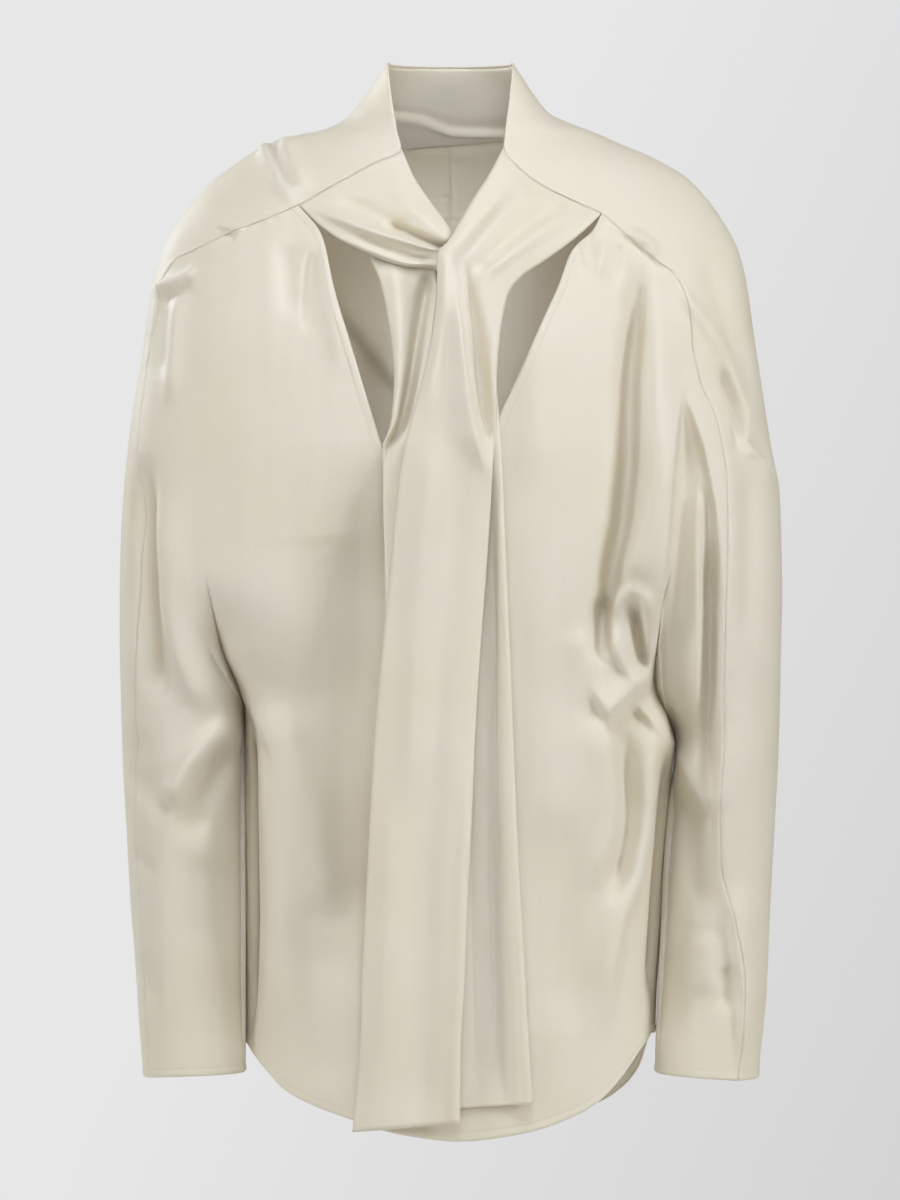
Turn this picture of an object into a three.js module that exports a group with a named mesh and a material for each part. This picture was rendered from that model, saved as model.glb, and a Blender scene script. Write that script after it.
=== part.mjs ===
// Ivory blouse with a grown-on stand collar and a wide tie, worn open at the neck.
// Millimetres. The wearer faces -Y and +Z is up. The origin is the middle of the neck at the shoulder line.
// "right" and "left" are the wearer's, so right is at -X.
import * as THREE from 'three';

// Driving sizes
const WALL = 1.6;            // cloth wall
const SEAM_GAP = 0.36;       // between two pieces sewn together
const TIE_WALL = 1.4;
const FACING_WALL = 1.2;
const FACING_INSET = 0.7;    // from the collar's inner face to the facing
const UNDERARM = { right: -433.5, left: -459 };
const CENTRE_SPLIT = -446;   // height of the split row at the centre line
const SIDE_HEM = { right: -684, left: -676 };
const FOLD_START = -225;     // where the sleeve begins to part from the body
const SLEEVE_COLUMNS = 8;    // front panel, overarm seam to underarm
const BODY_COLUMNS = 12;     // front panel, underarm to centre
const BACK_SLEEVE_COLUMNS = 10;
const BACK_BODY_COLUMNS = 8;
const LOWER_LEVELS = 14;     // rows between the shoulder point and the underarm
const HANG_LEVELS = 12;      // rows between the underarm and the hem or cuff
const NECK_LEVEL = 6;        // row of the neck point in SEAM
const TIE_END_LEVEL = 10;    // row where the tie's root ends and the front's V begins
const FOLD_LEVEL = 13;       // row where the line between sleeve and body meets the seam
const FRONT_CORNER = 15;     // row where the front panel's upper edge turns down the arm
const CORNER_LEVEL = 17;     // last row of SEAM

// Outer form: one horizontal section for each row. right and left are the outline's reach, front and back the
// depth at the middle, side the depth of the outermost point, power the roundness (2 is an ellipse).
const HULL = [
  { z: 51, right: 46.9, left: 46.9, front: -46, back: 62, side: 4, power: 2.2 },
  { z: 39, right: 55.5, left: 54.6, front: -50, back: 64, side: 4, power: 2.2 },
  { z: 26, right: 64.1, left: 63.4, front: -54, back: 66, side: 4, power: 2.1 },
  { z: 12.8, right: 75.4, left: 74.6, front: -58, back: 68, side: 4, power: 2.0 },
  { z: 7, right: 81.5, left: 86.5, front: -60, back: 70, side: 4, power: 1.9 },
  { z: 0, right: 97.9, left: 104.6, front: -63, back: 73, side: 3, power: 1.75 },
  { z: -4.5, right: 122, left: 115.5, front: -65, back: 75, side: 3, power: 1.65 },
  { z: -9.8, right: 137, left: 127, front: -68, back: 78, side: 2, power: 1.6 },
  { z: -17, right: 150, left: 145, front: -72, back: 83, side: 2, power: 1.6 },
  { z: -25, right: 161.6, left: 161, front: -75, back: 87, side: 1, power: 1.7 },
  { z: -36, right: 176.6, left: 178, front: -79, back: 92, side: 0, power: 1.8 },
  { z: -49, right: 189.4, left: 190.5, front: -84, back: 97, side: -1, power: 1.95 },
  { z: -66, right: 202.9, left: 202.9, front: -91, back: 101, side: -2, power: 2.1 },
  { z: -86, right: 214.1, left: 214.1, front: -99, back: 104, side: -3, power: 2.2 },
  { z: -105, right: 220.1, left: 219.9, front: -105, back: 106, side: -4, power: 2.25 },
  { z: -127.5, right: 225.4, left: 223.9, front: -111, back: 107, side: -5, power: 2.3 },
  { z: -150, right: 228.4, left: 226.9, front: -116, back: 107, side: -5, power: 2.35 },
  { z: -180, right: 232.9, left: 231.4, front: -120, back: 106, side: -6, power: 2.35 },
  { z: -210, right: 238.1, left: 235.9, front: -123, back: 105, side: -6, power: 2.35 },
  { z: -240, right: 241.9, left: 240.8, front: -125, back: 104, side: -6, power: 2.35 },
  { z: -270, right: 244.9, left: 246.4, front: -125, back: 103, side: -6, power: 2.35 },
  { z: -307, right: 247.1, left: 247.9, front: -124, back: 102, side: -5, power: 2.4 },
  { z: -345, right: 247.9, left: 248.6, front: -123, back: 102, side: -4, power: 2.4 },
  { z: -382, right: 247.9, left: 247.9, front: -122, back: 102, side: -3, power: 2.4 },
  { z: -427, right: 247.1, left: 247.1, front: -121, back: 103, side: -2, power: 2.4 },
  { z: -472, right: 245.6, left: 245.6, front: -120, back: 104, side: 0, power: 2.4 },
  { z: -525, right: 242.6, left: 242.6, front: -118, back: 105, side: 2, power: 2.4 },
  { z: -577, right: 239.6, left: 239.6, front: -116, back: 106, side: 4, power: 2.4 },
  { z: -622, right: 235.9, left: 237.4, front: -115, back: 107, side: 5, power: 2.4 },
  { z: -667, right: 232.9, left: 233.6, front: -114, back: 108, side: 5, power: 2.4 },
  { z: -712, right: 229.1, left: 229.9, front: -113, back: 108, side: 5, power: 2.4 },
  { z: -755, right: 226, left: 226, front: -112, back: 108, side: 5, power: 2.4 },
];

// Sleeve sections: depth of the middle and half depth.
const SLEEVE = [
  { z: -100, middle: -4, deep: 84 },
  { z: -225, middle: -5, deep: 78 },
  { z: -345, middle: -4, deep: 72 },
  { z: -433, middle: -2, deep: 65 },
  { z: -459, middle: -3, deep: 63 },
  { z: -560, middle: -12, deep: 54 },
  { z: -640, middle: -22, deep: 45 },
  { z: -712, middle: -30, deep: 38 },
];

// Front edge of the collar, then the shoulder seam and the overarm seam. One row is one level, shared by all the
// panels that meet there.
const SEAM = [
  { rightX: 46.9, rightZ: 51, leftX: 46.9, leftZ: 51 },
  { rightX: 45.8, rightZ: 39, leftX: 45.8, leftZ: 39 },
  { rightX: 44.6, rightZ: 28.5, leftX: 44.6, leftZ: 28.5 },
  { rightX: 43.1, rightZ: 18, leftX: 43.5, leftZ: 18 },
  { rightX: 41.2, rightZ: 7.5, leftX: 42, leftZ: 7.5 },
  { rightX: 39.8, rightZ: -2.2, leftX: 40.7, leftZ: -2.2 },
  { rightX: 36.4, rightZ: -16.5, leftX: 39.4, leftZ: -15 },
  { rightX: 56.6, rightZ: -27, leftX: 48.4, leftZ: -28.5 },
  { rightX: 79.1, rightZ: -39, leftX: 67.1, leftZ: -43.5 },
  { rightX: 96.4, rightZ: -48.8, leftX: 89.6, leftZ: -54.8 },
  { rightX: 112.9, rightZ: -58.5, leftX: 112.1, leftZ: -65.2 },
  { rightX: 130.1, rightZ: -66, leftX: 125.6, leftZ: -76.5 },
  { rightX: 147.4, rightZ: -72.8, leftX: 139.1, leftZ: -88.5 },
  { rightX: 165.4, rightZ: -79.5, leftX: 152.6, leftZ: -99.8 },
  { rightX: 185.6, rightZ: -89.2, leftX: 166.1, leftZ: -110.2 },
  { rightX: 204.4, rightZ: -98.2, leftX: 174.4, leftZ: -126 },
  { rightX: 214.1, rightZ: -111, leftX: 178.1, leftZ: -146.2 },
  { rightX: 220.1, rightZ: -131.2, leftX: 179.6, leftZ: -166.5 },
];

// Overarm seam from the shoulder point to the cuff.
const OVERARM = {
  right: [
    { z: -131.2, x: 220.1 }, { z: -161.2, x: 224.6 }, { z: -191.2, x: 228.4 }, { z: -225, x: 231.4 },
    { z: -258.8, x: 233.6 }, { z: -292.5, x: 235.1 }, { z: -326.2, x: 235.9 }, { z: -397.5, x: 235.9 },
    { z: -433.5, x: 235.1 }, { z: -502.5, x: 235.1 }, { z: -577.5, x: 232.1 }, { z: -652.5, x: 227.6 },
    { z: -712, x: 223.9 },
  ],
  left: [
    { z: -166.5, x: 179.6 }, { z: -192, x: 185.6 }, { z: -210.8, x: 193.9 }, { z: -237.8, x: 199.9 },
    { z: -270, x: 203.6 }, { z: -303.8, x: 203.6 }, { z: -341.2, x: 202.9 }, { z: -420, x: 201.4 },
    { z: -459, x: 201.4 }, { z: -502.5, x: 200.6 }, { z: -547.5, x: 201.4 }, { z: -592.5, x: 211.9 },
    { z: -637.5, x: 219.4 }, { z: -675, x: 217.9 }, { z: -712, x: 213.4 },
  ],
};

// Line between sleeve and body, from the seam down to the underarm.
const ARMLINE = {
  right: [
    { z: -79.5, x: 165.4 }, { z: -127.5, x: 183 }, { z: -172.5, x: 195 }, { z: -217.5, x: 204.5 },
    { z: -255, x: 209 }, { z: -292.5, x: 199.1 }, { z: -326.2, x: 184.1 }, { z: -382.5, x: 171.4 },
    { z: -433.5, x: 154.1 },
  ],
  left: [
    { z: -99.8, x: 152.6 }, { z: -153.8, x: 160 }, { z: -198.8, x: 165 }, { z: -240, x: 168 },
    { z: -285, x: 168 }, { z: -326.2, x: 163.9 }, { z: -367.5, x: 154.1 }, { z: -412.5, x: 150.4 },
    { z: -459, x: 168.4 },
  ],
};
// The same line continued up over the back of the shoulder to the collar, one value for each level of SEAM.
const BACK_ARMLINE = {
  right: [37.1, 39.4, 42.4, 45.4, 52.9, 66.4, 79.1, 94.1, 112.9, 127.9, 141.4, 150.4, 159.4, 168.4, 176.6,
    183.4, 189.4, 195.4],
  left: [37.1, 39.4, 42.4, 45.4, 52.9, 65.6, 79.1, 94.1, 112.9, 128.6, 142.1, 151.1, 157.1, 161.1, 165.6,
    168.4, 170.1, 173.4],
};

// Below the underarm: the sleeve's inner edge and the body's side.
const SLEEVE_INNER = {
  right: [{ z: -433.5, x: 154.1 }, { z: -487.5, x: 155.6 }, { z: -540, x: 157.1 }, { z: -615, x: 155.9 },
    { z: -712, x: 155.6 }],
  left: [{ z: -459, x: 168.4 }, { z: -502.5, x: 166.1 }, { z: -547.5, x: 162.4 }, { z: -600, x: 160.1 },
    { z: -637.5, x: 157.5 }, { z: -712, x: 154.1 }],
};
const BODY_SIDE = {
  right: [{ z: -433.5, x: 154.1 }, { z: -453.8, x: 152.6 }, { z: -495, x: 152.6 }, { z: -577.5, x: 152.6 },
    { z: -755, x: 152.6 }],
  left: [{ z: -459, x: 168.4 }, { z: -487.5, x: 163.9 }, { z: -540, x: 159 }, { z: -600, x: 156 },
    { z: -652.5, x: 152.6 }, { z: -755, x: 150 }],
};

// Edge of the front panel's V.
const V_EDGE = {
  right: [{ x: -112.9, z: -58.5 }, { x: -95.5, z: -81.3 }, { x: -85.7, z: -122.6 }, { x: -74.5, z: -159.9 },
    { x: -63.3, z: -197.1 }, { x: -49.9, z: -239.4 }, { x: -29.9, z: -293.4 }, { x: -12.2, z: -339.9 }],
  left: [{ x: 112.1, z: -65.2 }, { x: 106, z: -77 }, { x: 90, z: -93 }, { x: 79.5, z: -120 }, { x: 66.3, z: -148.8 },
    { x: 51.4, z: -182.3 }, { x: 36.6, z: -213.5 }, { x: 10.7, z: -278.6 }, { x: -12.2, z: -339.9 }],
};
const V_ROWS = 12;           // rows of the upper front that the V takes

// Shirt-tail hem, x signed.
const FRONT_HEM = [
  { x: -153, z: -684 }, { x: -141, z: -698 }, { x: -123, z: -716 }, { x: -104, z: -726 }, { x: -82, z: -734 },
  { x: -37, z: -747.6 }, { x: 7, z: -752.6 }, { x: 51, z: -747.6 }, { x: 96, z: -733 }, { x: 113, z: -722 },
  { x: 128, z: -706 }, { x: 140, z: -689 }, { x: 150, z: -676 },
];
const BACK_HEM = [
  { x: -153, z: -684 }, { x: -141, z: -697 }, { x: -123, z: -713 }, { x: -104, z: -723 }, { x: -82, z: -731 },
  { x: -37, z: -744 }, { x: 0, z: -748 }, { x: 51, z: -748 }, { x: 96, z: -739 }, { x: 116, z: -731 },
  { x: 132, z: -719 }, { x: 143, z: -703 }, { x: 150, z: -676 },
];

// Largest folds of the front: a path, the reach to either side of it and the height (outward is positive).
const FRONT_FOLDS = [
  { name: 'right sleeve trough', path: [[-234.4, -255], [-235.1, -322.5], [-229.1, -390], [-217.9, -427.5]], near: 7, far: 7, high: -5 },
  { name: 'right sleeve ridge', path: [[-225.4, -262], [-223.9, -322.5], [-214.1, -382.5], [-187.9, -427.5]], near: 9, far: 9, high: 6 },
  { name: 'right body trough', path: [[-79.1, -322.5], [-64.1, -472.5], [-71.6, -615]], near: 22, far: 22, high: -6 },
  { name: 'right side sweep', path: [[-141.4, -457.5], [-97.9, -577.5], [-79.1, -652.5]], near: 18, far: 18, high: -6 },
  { name: 'right chest crease', path: [[-97.9, -82.5], [-109.1, -120], [-106.9, -150]], near: 7, far: 7, high: -4 },
  { name: 'right shoulder pucker', path: [[-204.4, -122], [-210.4, -165]], near: 7, far: 7, high: 4 },
  { name: 'left long trough', path: [[142.1, -93.8], [140.6, -127.5], [138.4, -202.5], [130.9, -277.5], [112.1, -352.5], [104.6, -390]], near: 26, far: 14, high: -13 },
  { name: 'left armhole ridge', path: [[157.1, -127.5], [161.6, -202.5], [155.1, -292.5], [149.6, -330]], near: 12, far: 12, high: 8 },
  { name: 'left hook trough', path: [[133.1, -345], [121.1, -363.8], [119.6, -397.5]], near: 10, far: 9, high: -10 },
  { name: 'left pocket', path: [[134.6, -352.5], [146, -390]], near: 10, far: 9, high: -14 },
  { name: 'left lip', path: [[108, -435], [134.6, -421], [147, -404]], near: 12, far: 10, high: 12 },
  { name: 'left lower ridge', path: [[112.1, -440], [121.1, -472.5], [130.9, -540]], near: 15, far: 15, high: 7 },
  { name: 'left lower trough', path: [[140.1, -452.5], [136.1, -540], [119.6, -592.5]], near: 12, far: 12, high: -8 },
];
const BACK_FOLDS = [
  { name: 'right shoulder blade', path: [[-120, -130], [-150, -260], [-140, -400]], near: 24, far: 24, high: -7 },
  { name: 'left shoulder blade', path: [[128, -120], [150, -240], [146, -390]], near: 22, far: 26, high: -8 },
  { name: 'right back sweep', path: [[-60, -300], [-72, -480], [-58, -690]], near: 26, far: 22, high: -6 },
  { name: 'left back sweep', path: [[74, -340], [62, -500], [78, -700]], near: 24, far: 26, high: -6 },
  { name: 'right side fold', path: [[-138, -450], [-112, -560], [-104, -690]], near: 18, far: 18, high: 5 },
  { name: 'left side fold', path: [[150, -470], [122, -570], [110, -690]], near: 18, far: 18, high: 5 },
];

// The tie's stretches. Each row is a section from edge a to edge b, lift is its distance in front of the body.
const TIE_LEFT = [
  { ax: 39.4, az: -15, bx: 112.1, bz: -65.2, lift: 0, crown: 0 },
  { ax: 29.4, az: -34.4, bx: 98, bz: -79, lift: 2.4, crown: 2 },
  { ax: 18.2, az: -51.9, bx: 84.5, bz: -90, lift: 3, crown: 4 },
  { ax: 9.3, az: -67, bx: 67.1, bz: -102.6, lift: 4, crown: 6 },
  { ax: -0.4, az: -84.3, bx: 53, bz: -112.5, lift: 5.5, crown: 8 },
  { ax: -9.3, az: -96.4, bx: 42.6, bz: -126.7, lift: 6.5, crown: 9 },
  { ax: -10.7, az: -130.6, bx: 37.3, bz: -152.8, lift: 8, crown: 8 },
  { ax: -15.1, az: -164.1, bx: 34.4, bz: -184.1, lift: 9, crown: 7 },
  { ax: -24, az: -201.1, bx: 33.6, bz: -212.2, lift: 10, crown: 6 },
  { ax: -33.6, az: -238.1, bx: 32.1, bz: -241.8, lift: 10, crown: 5 },
  { ax: -38.7, az: -271.4, bx: 29.9, bz: -278.7, lift: 9.5, crown: 5 },
  { ax: -44.6, az: -334.1, bx: 26.2, bz: -334.1, lift: 9.5, crown: 4 },
  { ax: -50.5, az: -393.1, bx: 21.8, bz: -393.1, lift: 9.5, crown: 4 },
  { ax: -55.7, az: -452.1, bx: 18.1, bz: -452.1, lift: 9.5, crown: 4 },
  { ax: -59.4, az: -511.2, bx: 15.9, bz: -511.2, lift: 9.5, crown: 3 },
  { ax: -62.4, az: -570.2, bx: 12.9, bz: -570.2, lift: 9.5, crown: 3 },
  { ax: -65.3, az: -629.3, bx: 10.7, bz: -629.3, lift: 9.5, crown: 3 },
  { ax: -66.8, az: -684.7, bx: 7.8, bz: -684.7, lift: 9.5, crown: 3 },
  { ax: -72.7, az: -745.3, bx: 7, bz: -738.6, lift: 9.5, crown: 3 },
];
const TIE_RIGHT = [
  { ax: -36.4, az: -16.5, bx: -112.9, bz: -58.5, lift: 0, crown: 0 },
  { ax: -26.4, az: -38.8, bx: -95.5, bz: -75.3, lift: 0.5, crown: 3 },
  { ax: -15.2, az: -55.6, bx: -78.3, bz: -87.5, lift: 1, crown: 5 },
  { ax: -6.3, az: -67.7, bx: -56, bz: -98.1, lift: 0.5, crown: 5 },
  { ax: 1.9, az: -79.1, bx: -33.7, bz: -105, lift: -0.5, crown: 3 },
  { ax: 9.3, az: -88.1, bx: -13.7, bz: -106.6, lift: -1.5, crown: 1 },
  { ax: 16.7, az: -102.2, bx: -4.1, bz: -115.6, lift: -1.5, crown: 1 },
  { ax: 24.8, az: -130.5, bx: -1.8, bz: -137.9, lift: 0, crown: 1 },
  { ax: 30.7, az: -167.7, bx: -3.3, bz: -167.7, lift: 2.5, crown: 1 },
  { ax: 34.4, az: -197.4, bx: -4.8, bz: -204.7, lift: 4, crown: 1 },
  { ax: 36.6, az: -226.9, bx: -6.3, bz: -241.7, lift: 4.5, crown: 1 },
  { ax: 39.5, az: -278.7, bx: -7, bz: -278.7, lift: 4.5, crown: 1 },
  { ax: 42.5, az: -352.5, bx: -8.5, bz: -352.5, lift: 4.5, crown: 1 },
  { ax: 45.4, az: -419, bx: -10, bz: -426.3, lift: 4.5, crown: 1 },
  { ax: 48.4, az: -500.3, bx: -12.2, bz: -500.3, lift: 4.5, crown: 1 },
  { ax: 52.1, az: -574.2, bx: -14.4, bz: -574.2, lift: 4.5, crown: 1 },
  { ax: 55.8, az: -637.8, bx: -15.9, bz: -637.8, lift: 4.5, crown: 1 },
  { ax: 58.8, az: -692.5, bx: -17.4, bz: -692.5, lift: 4.5, crown: 1 },
  { ax: 61, az: -724.3, bx: -18.1, bz: -729.5, lift: 4.5, crown: 1 },
];
const TIE_FOLD = [
  { ax: -10, az: -90, bx: -65.7, bz: -80, lift: -2.6, crown: -2 },
  { ax: -10, az: -104.8, bx: -60.2, bz: -97, lift: -4, crown: -1 },
  { ax: -10, az: -122.8, bx: -51.5, bz: -118.8, lift: -2.4, crown: 1 },
  { ax: -12.2, az: -152.6, bx: -45.5, bz: -150.6, lift: 0.5, crown: 2 },
  { ax: -16.6, az: -189.7, bx: -41.8, bz: -187.7, lift: 3, crown: 1 },
  { ax: -21.1, az: -222.4, bx: -44, bz: -220.4, lift: 4, crown: 0 },
  { ax: -25.5, az: -241.7, bx: -49.9, bz: -241.7, lift: 4.5, crown: 0 },
  { ax: -28.4, az: -278.7, bx: -49.8, bz: -278.7, lift: 4.5, crown: 0 },
  { ax: -28.4, az: -323, bx: -48.4, bz: -323, lift: 4.5, crown: 0 },
  { ax: -28.4, az: -367.3, bx: -47.6, bz: -367.3, lift: 4.5, crown: 0 },
];
// Lengthwise folds of the tie: at is the place between edge a (0) and edge b (1), from and to are heights.
const TIE_FOLDS = {
  left: [
    { name: 'long crease', at: 0.72, endAt: 0.9, from: -110, to: -240, wide: 0.1, high: -5 },
    { name: 'lit ridge', at: 0.3, endAt: 0.5, from: -100, to: -260, wide: 0.14, high: 4 },
    { name: 'shoulder pleat', at: 0.5, endAt: 0.35, from: -40, to: -115, wide: 0.12, high: -3 },
    { name: 'tail ridge', at: 0.55, endAt: 0.45, from: -300, to: -700, wide: 0.16, high: 2 },
  ],
  right: [
    { name: 'shoulder pleat', at: 0.3, endAt: 0.45, from: -30, to: -100, wide: 0.12, high: -4 },
    { name: 'lower pleat', at: 0.7, endAt: 0.75, from: -40, to: -110, wide: 0.1, high: -3 },
    { name: 'tail fold', at: 0.3, endAt: 0.35, from: -380, to: -720, wide: 0.15, high: 1.5 },
  ],
  fold: [],
};

// Free edge of the neck facing, as the level of SEAM it reaches at each x of the back collar.
const FACING_EDGE = [
  { x: -80, level: 3.3 }, { x: -38, level: 3.2 }, { x: -8, level: 3.9 }, { x: 4, level: 4.3 },
  { x: 40, level: 4.5 }, { x: 80, level: 3.8 },
];
const FACING_START = 2;      // first column of the collar that the facing covers
const FACING_LEVELS = [0.15, 1, 2, 3];

const IVORY = new THREE.MeshStandardMaterial({ color: 0xe2dacb, roughness: 0.5, metalness: 0 });

// Reading a table: a smooth curve through column `to` over column `from`, that never overshoots a row.
function curve(rows, from, to) {
  const points = rows.map((row) => [row[from], row[to]]).sort((a, b) => a[0] - b[0]);
  const count = points.length;
  const step = (i) => (points[i + 1][1] - points[i][1]) / (points[i + 1][0] - points[i][0]);
  const slopes = points.map((_, i) => {
    if (i === 0) return step(0);
    if (i === count - 1) return step(count - 2);
    const before = step(i - 1);
    const after = step(i);
    return before * after <= 0 ? 0 : (2 * before * after) / (before + after);
  });
  return (value) => {
    if (value <= points[0][0]) return points[0][1];
    if (value >= points[count - 1][0]) return points[count - 1][1];
    let i = 0;
    while (points[i + 1][0] < value) i += 1;
    const wide = points[i + 1][0] - points[i][0];
    const t = (value - points[i][0]) / wide;
    const t2 = t * t;
    const t3 = t2 * t;
    return (2 * t3 - 3 * t2 + 1) * points[i][1] + (t3 - 2 * t2 + t) * wide * slopes[i]
      + (3 * t2 - 2 * t3) * points[i + 1][1] + (t3 - t2) * wide * slopes[i + 1];
  };
}

const lerp = THREE.MathUtils.lerp;
const smooth = (value, low, high) => THREE.MathUtils.smoothstep(value, low, high);
const SIDES = { right: -1, left: 1 };
const hull = {};
for (const key of ['right', 'left', 'front', 'back', 'side', 'power']) hull[key] = curve(HULL, 'z', key);
const sleeve = { middle: curve(SLEEVE, 'z', 'middle'), deep: curve(SLEEVE, 'z', 'deep') };
const overarm = {};
const armline = {};
const sleeveInner = {};
const bodySide = {};
for (const side of ['right', 'left']) {
  overarm[side] = curve(OVERARM[side], 'z', 'x');
  armline[side] = curve(ARMLINE[side], 'z', 'x');
  const above = ARMLINE[side].slice(0, -1);
  sleeveInner[side] = curve([...above, ...SLEEVE_INNER[side]], 'z', 'x');
  bodySide[side] = curve([...above, ...BODY_SIDE[side]], 'z', 'x');
}
const frontHem = curve(FRONT_HEM, 'x', 'z');
const backHem = curve(BACK_HEM, 'x', 'z');

// Share of full depth at the place u (0 middle, 1 edge) of a rounded section.
const arch = (u, power) => Math.max(0, 1 - Math.min(1, Math.abs(u)) ** power) ** (1 / power);

// How far the sleeve has parted from the body: 0 at the shoulder, 1 at the underarm.
const parted = (z, side) => smooth(-z, -FOLD_START, -UNDERARM[side]) ** 1.2;

// Height of one fold at a point: a soft ridge along its path, fading out at both ends.
function foldHeight(fold, x, z) {
  let best = Infinity;
  let where = 0;
  let across = 0;
  const pieces = fold.path.length - 1;
  for (let i = 0; i < pieces; i += 1) {
    const [x0, z0] = fold.path[i];
    const dx = fold.path[i + 1][0] - x0;
    const dz = fold.path[i + 1][1] - z0;
    const t = THREE.MathUtils.clamp(((x - x0) * dx + (z - z0) * dz) / (dx * dx + dz * dz), 0, 1);
    const gap = Math.hypot(x - x0 - t * dx, z - z0 - t * dz);
    if (gap < best) {
      best = gap;
      where = (i + t) / pieces;
      across = Math.sign((x - x0) * dz - (z - z0) * dx);
    }
  }
  const reach = across > 0 ? fold.near : fold.far;
  const fade = smooth(where, -0.01, 0.25) * (1 - smooth(where, 0.75, 1.01));
  return fold.high * fade * Math.exp(-((best / reach) ** 2));
}

// Depth of the garment's skin at x, z: face is -1 on the front and 1 on the back.
function skinY(x, z, face) {
  const side = x < 0 ? 'right' : 'left';
  const reach = Math.abs(x);
  const edge = hull.side(z);
  const full = face < 0 ? hull.front(z) : hull.back(z);
  const wide = edge + (full - edge) * arch(reach / hull[side](z), hull.power(z));
  const part = parted(z, side);
  let y = wide;
  if (part > 0) {
    const inner = sleeveInner[side](z);
    const body = bodySide[side](z);
    const outer = hull[side](z);
    const half = (outer - inner) / 2;
    let split = edge + (full - edge) * arch(reach / body, 2.4);
    if (reach > (inner + body) / 2) {
      split = sleeve.middle(z) + face * sleeve.deep(z) * arch((reach - outer + half) / half, 2.2);
    }
    y = lerp(wide, split, part);
  }
  const calm = 1 - smooth(reach, hull[side](z) - 14, hull[side](z) + 1);
  let relief = 0;
  for (const fold of face < 0 ? FRONT_FOLDS : BACK_FOLDS) relief += foldHeight(fold, x, z);
  return y + face * relief * calm;
}

// Angles round a sleeve below the underarm: 0 at the outer side, negative in front, 180 degrees inside.
function seamAngle(side, z) {
  const outer = hull[side](z);
  const half = (outer - sleeveInner[side](z)) / 2;
  return -Math.acos(THREE.MathUtils.clamp((overarm[side](z) - outer + half) / half, -1, 1));
}

// Levels along the front edge of the back panel: the collar's edge, the shoulder seam, the overarm seam.
function seamPlace(side, level) {
  if (level <= CORNER_LEVEL) {
    const i = Math.min(Math.floor(level), CORNER_LEVEL - 1);
    const t = level - i;
    return [lerp(SEAM[i][`${side}X`], SEAM[i + 1][`${side}X`], t), lerp(SEAM[i][`${side}Z`], SEAM[i + 1][`${side}Z`], t)];
  }
  const t = (level - CORNER_LEVEL) / LOWER_LEVELS;
  const z = lerp(SEAM[CORNER_LEVEL][`${side}Z`], UNDERARM[side], t);
  return [overarm[side](z), z];
}
const SPLIT_LEVEL = CORNER_LEVEL + LOWER_LEVELS;
const FRONT_ROWS = SPLIT_LEVEL - FRONT_CORNER;
function centreZ(level) {
  if (level >= SPLIT_LEVEL) return CENTRE_SPLIT;
  const even = (seamPlace('right', level)[1] + seamPlace('left', level)[1]) / 2;
  return even;
}
function seamPoint(side, level) {
  const [x, z] = seamPlace(side, level);
  return [SIDES[side] * x, skinY(SIDES[side] * x, z, -1), z];
}
function backArmline(side, level, z) {
  if (level >= CORNER_LEVEL) {
    const low = armline[side](z);
    const high = BACK_ARMLINE[side][CORNER_LEVEL];
    return lerp(high, low, smooth(level, CORNER_LEVEL, CORNER_LEVEL + 3));
  }
  const i = Math.min(Math.floor(level), CORNER_LEVEL - 1);
  return lerp(BACK_ARMLINE[side][i], BACK_ARMLINE[side][i + 1], level - i);
}

// One point of a back panel above the underarm. column runs from the seam round the arm to the centre back.
function backPoint(side, level, column) {
  const [seamX, seamZ] = seamPlace(side, level);
  const all = BACK_SLEEVE_COLUMNS + BACK_BODY_COLUMNS;
  const z = lerp(seamZ, centreZ(level), smooth(column / all, 0.3, 1));
  if (column === 0) return seamPoint(side, level);
  const line = backArmline(side, level, z);
  const outer = hull[side](z);
  const part = parted(z, side);
  if (column <= BACK_SLEEVE_COLUMNS) {
    const centre = lerp(line, (outer + line) / 2, part);
    const half = outer - centre;
    const start = -Math.acos(THREE.MathUtils.clamp((seamX - centre) / half, -1, 1));
    const end = Math.acos(THREE.MathUtils.clamp((line - centre) / half, -1, 1));
    const angle = lerp(start, end, column / BACK_SLEEVE_COLUMNS);
    const reach = centre + half * Math.cos(angle);
    return [SIDES[side] * reach, skinY(SIDES[side] * reach, z, angle < 0 ? -1 : 1), z];
  }
  const t = (column - BACK_SLEEVE_COLUMNS) / BACK_BODY_COLUMNS;
  const reach = line * lerp(1 - t, Math.cos((t * Math.PI) / 2), part);
  return [SIDES[side] * reach, skinY(SIDES[side] * reach, z, 1), z];
}

// A panel: points that are shared by place, and faces. Points on a seam are marked.
class Panel {
  constructor() {
    this.points = [];
    this.index = new Map();
    this.faces = [];
    this.seam = new Set();
    this.chords = new Map();
  }

  add(point, onSeam = false) {
    const key = placeKey(point);
    if (!this.index.has(key)) {
      this.index.set(key, this.points.length);
      this.points.push(point);
    }
    const i = this.index.get(key);
    if (onSeam) this.seam.add(i);
    return i;
  }

  grid(rows) {
    const first = this.faces.length;
    for (let j = 0; j + 1 < rows.length; j += 1) {
      for (let i = 0; i + 1 < rows[j].length; i += 1) {
        this.quad(rows[j][i], rows[j][i + 1], rows[j + 1][i + 1], rows[j + 1][i]);
      }
    }
    return first;
  }

  quad(a, b, c, d) {
    const flatness = (p, q) => {
      const u = this.points[p];
      const v = this.points[q];
      return Math.hypot(u[0] - v[0], u[1] - v[1], u[2] - v[2]);
    };
    const pieces = flatness(a, c) <= flatness(b, d) ? [[a, b, c], [a, c, d]] : [[a, b, d], [b, c, d]];
    for (const face of pieces) if (new Set(face).size === 3) this.faces.push(face);
  }

  // Turns the faces from `first` on so that most of them look along `way`.
  face(first, way) {
    let sum = 0;
    for (const face of this.faces.slice(first)) sum += faceNormal(this.points, face).dot(way);
    if (sum < 0) for (const face of this.faces.slice(first)) face.reverse();
  }
}

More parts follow.
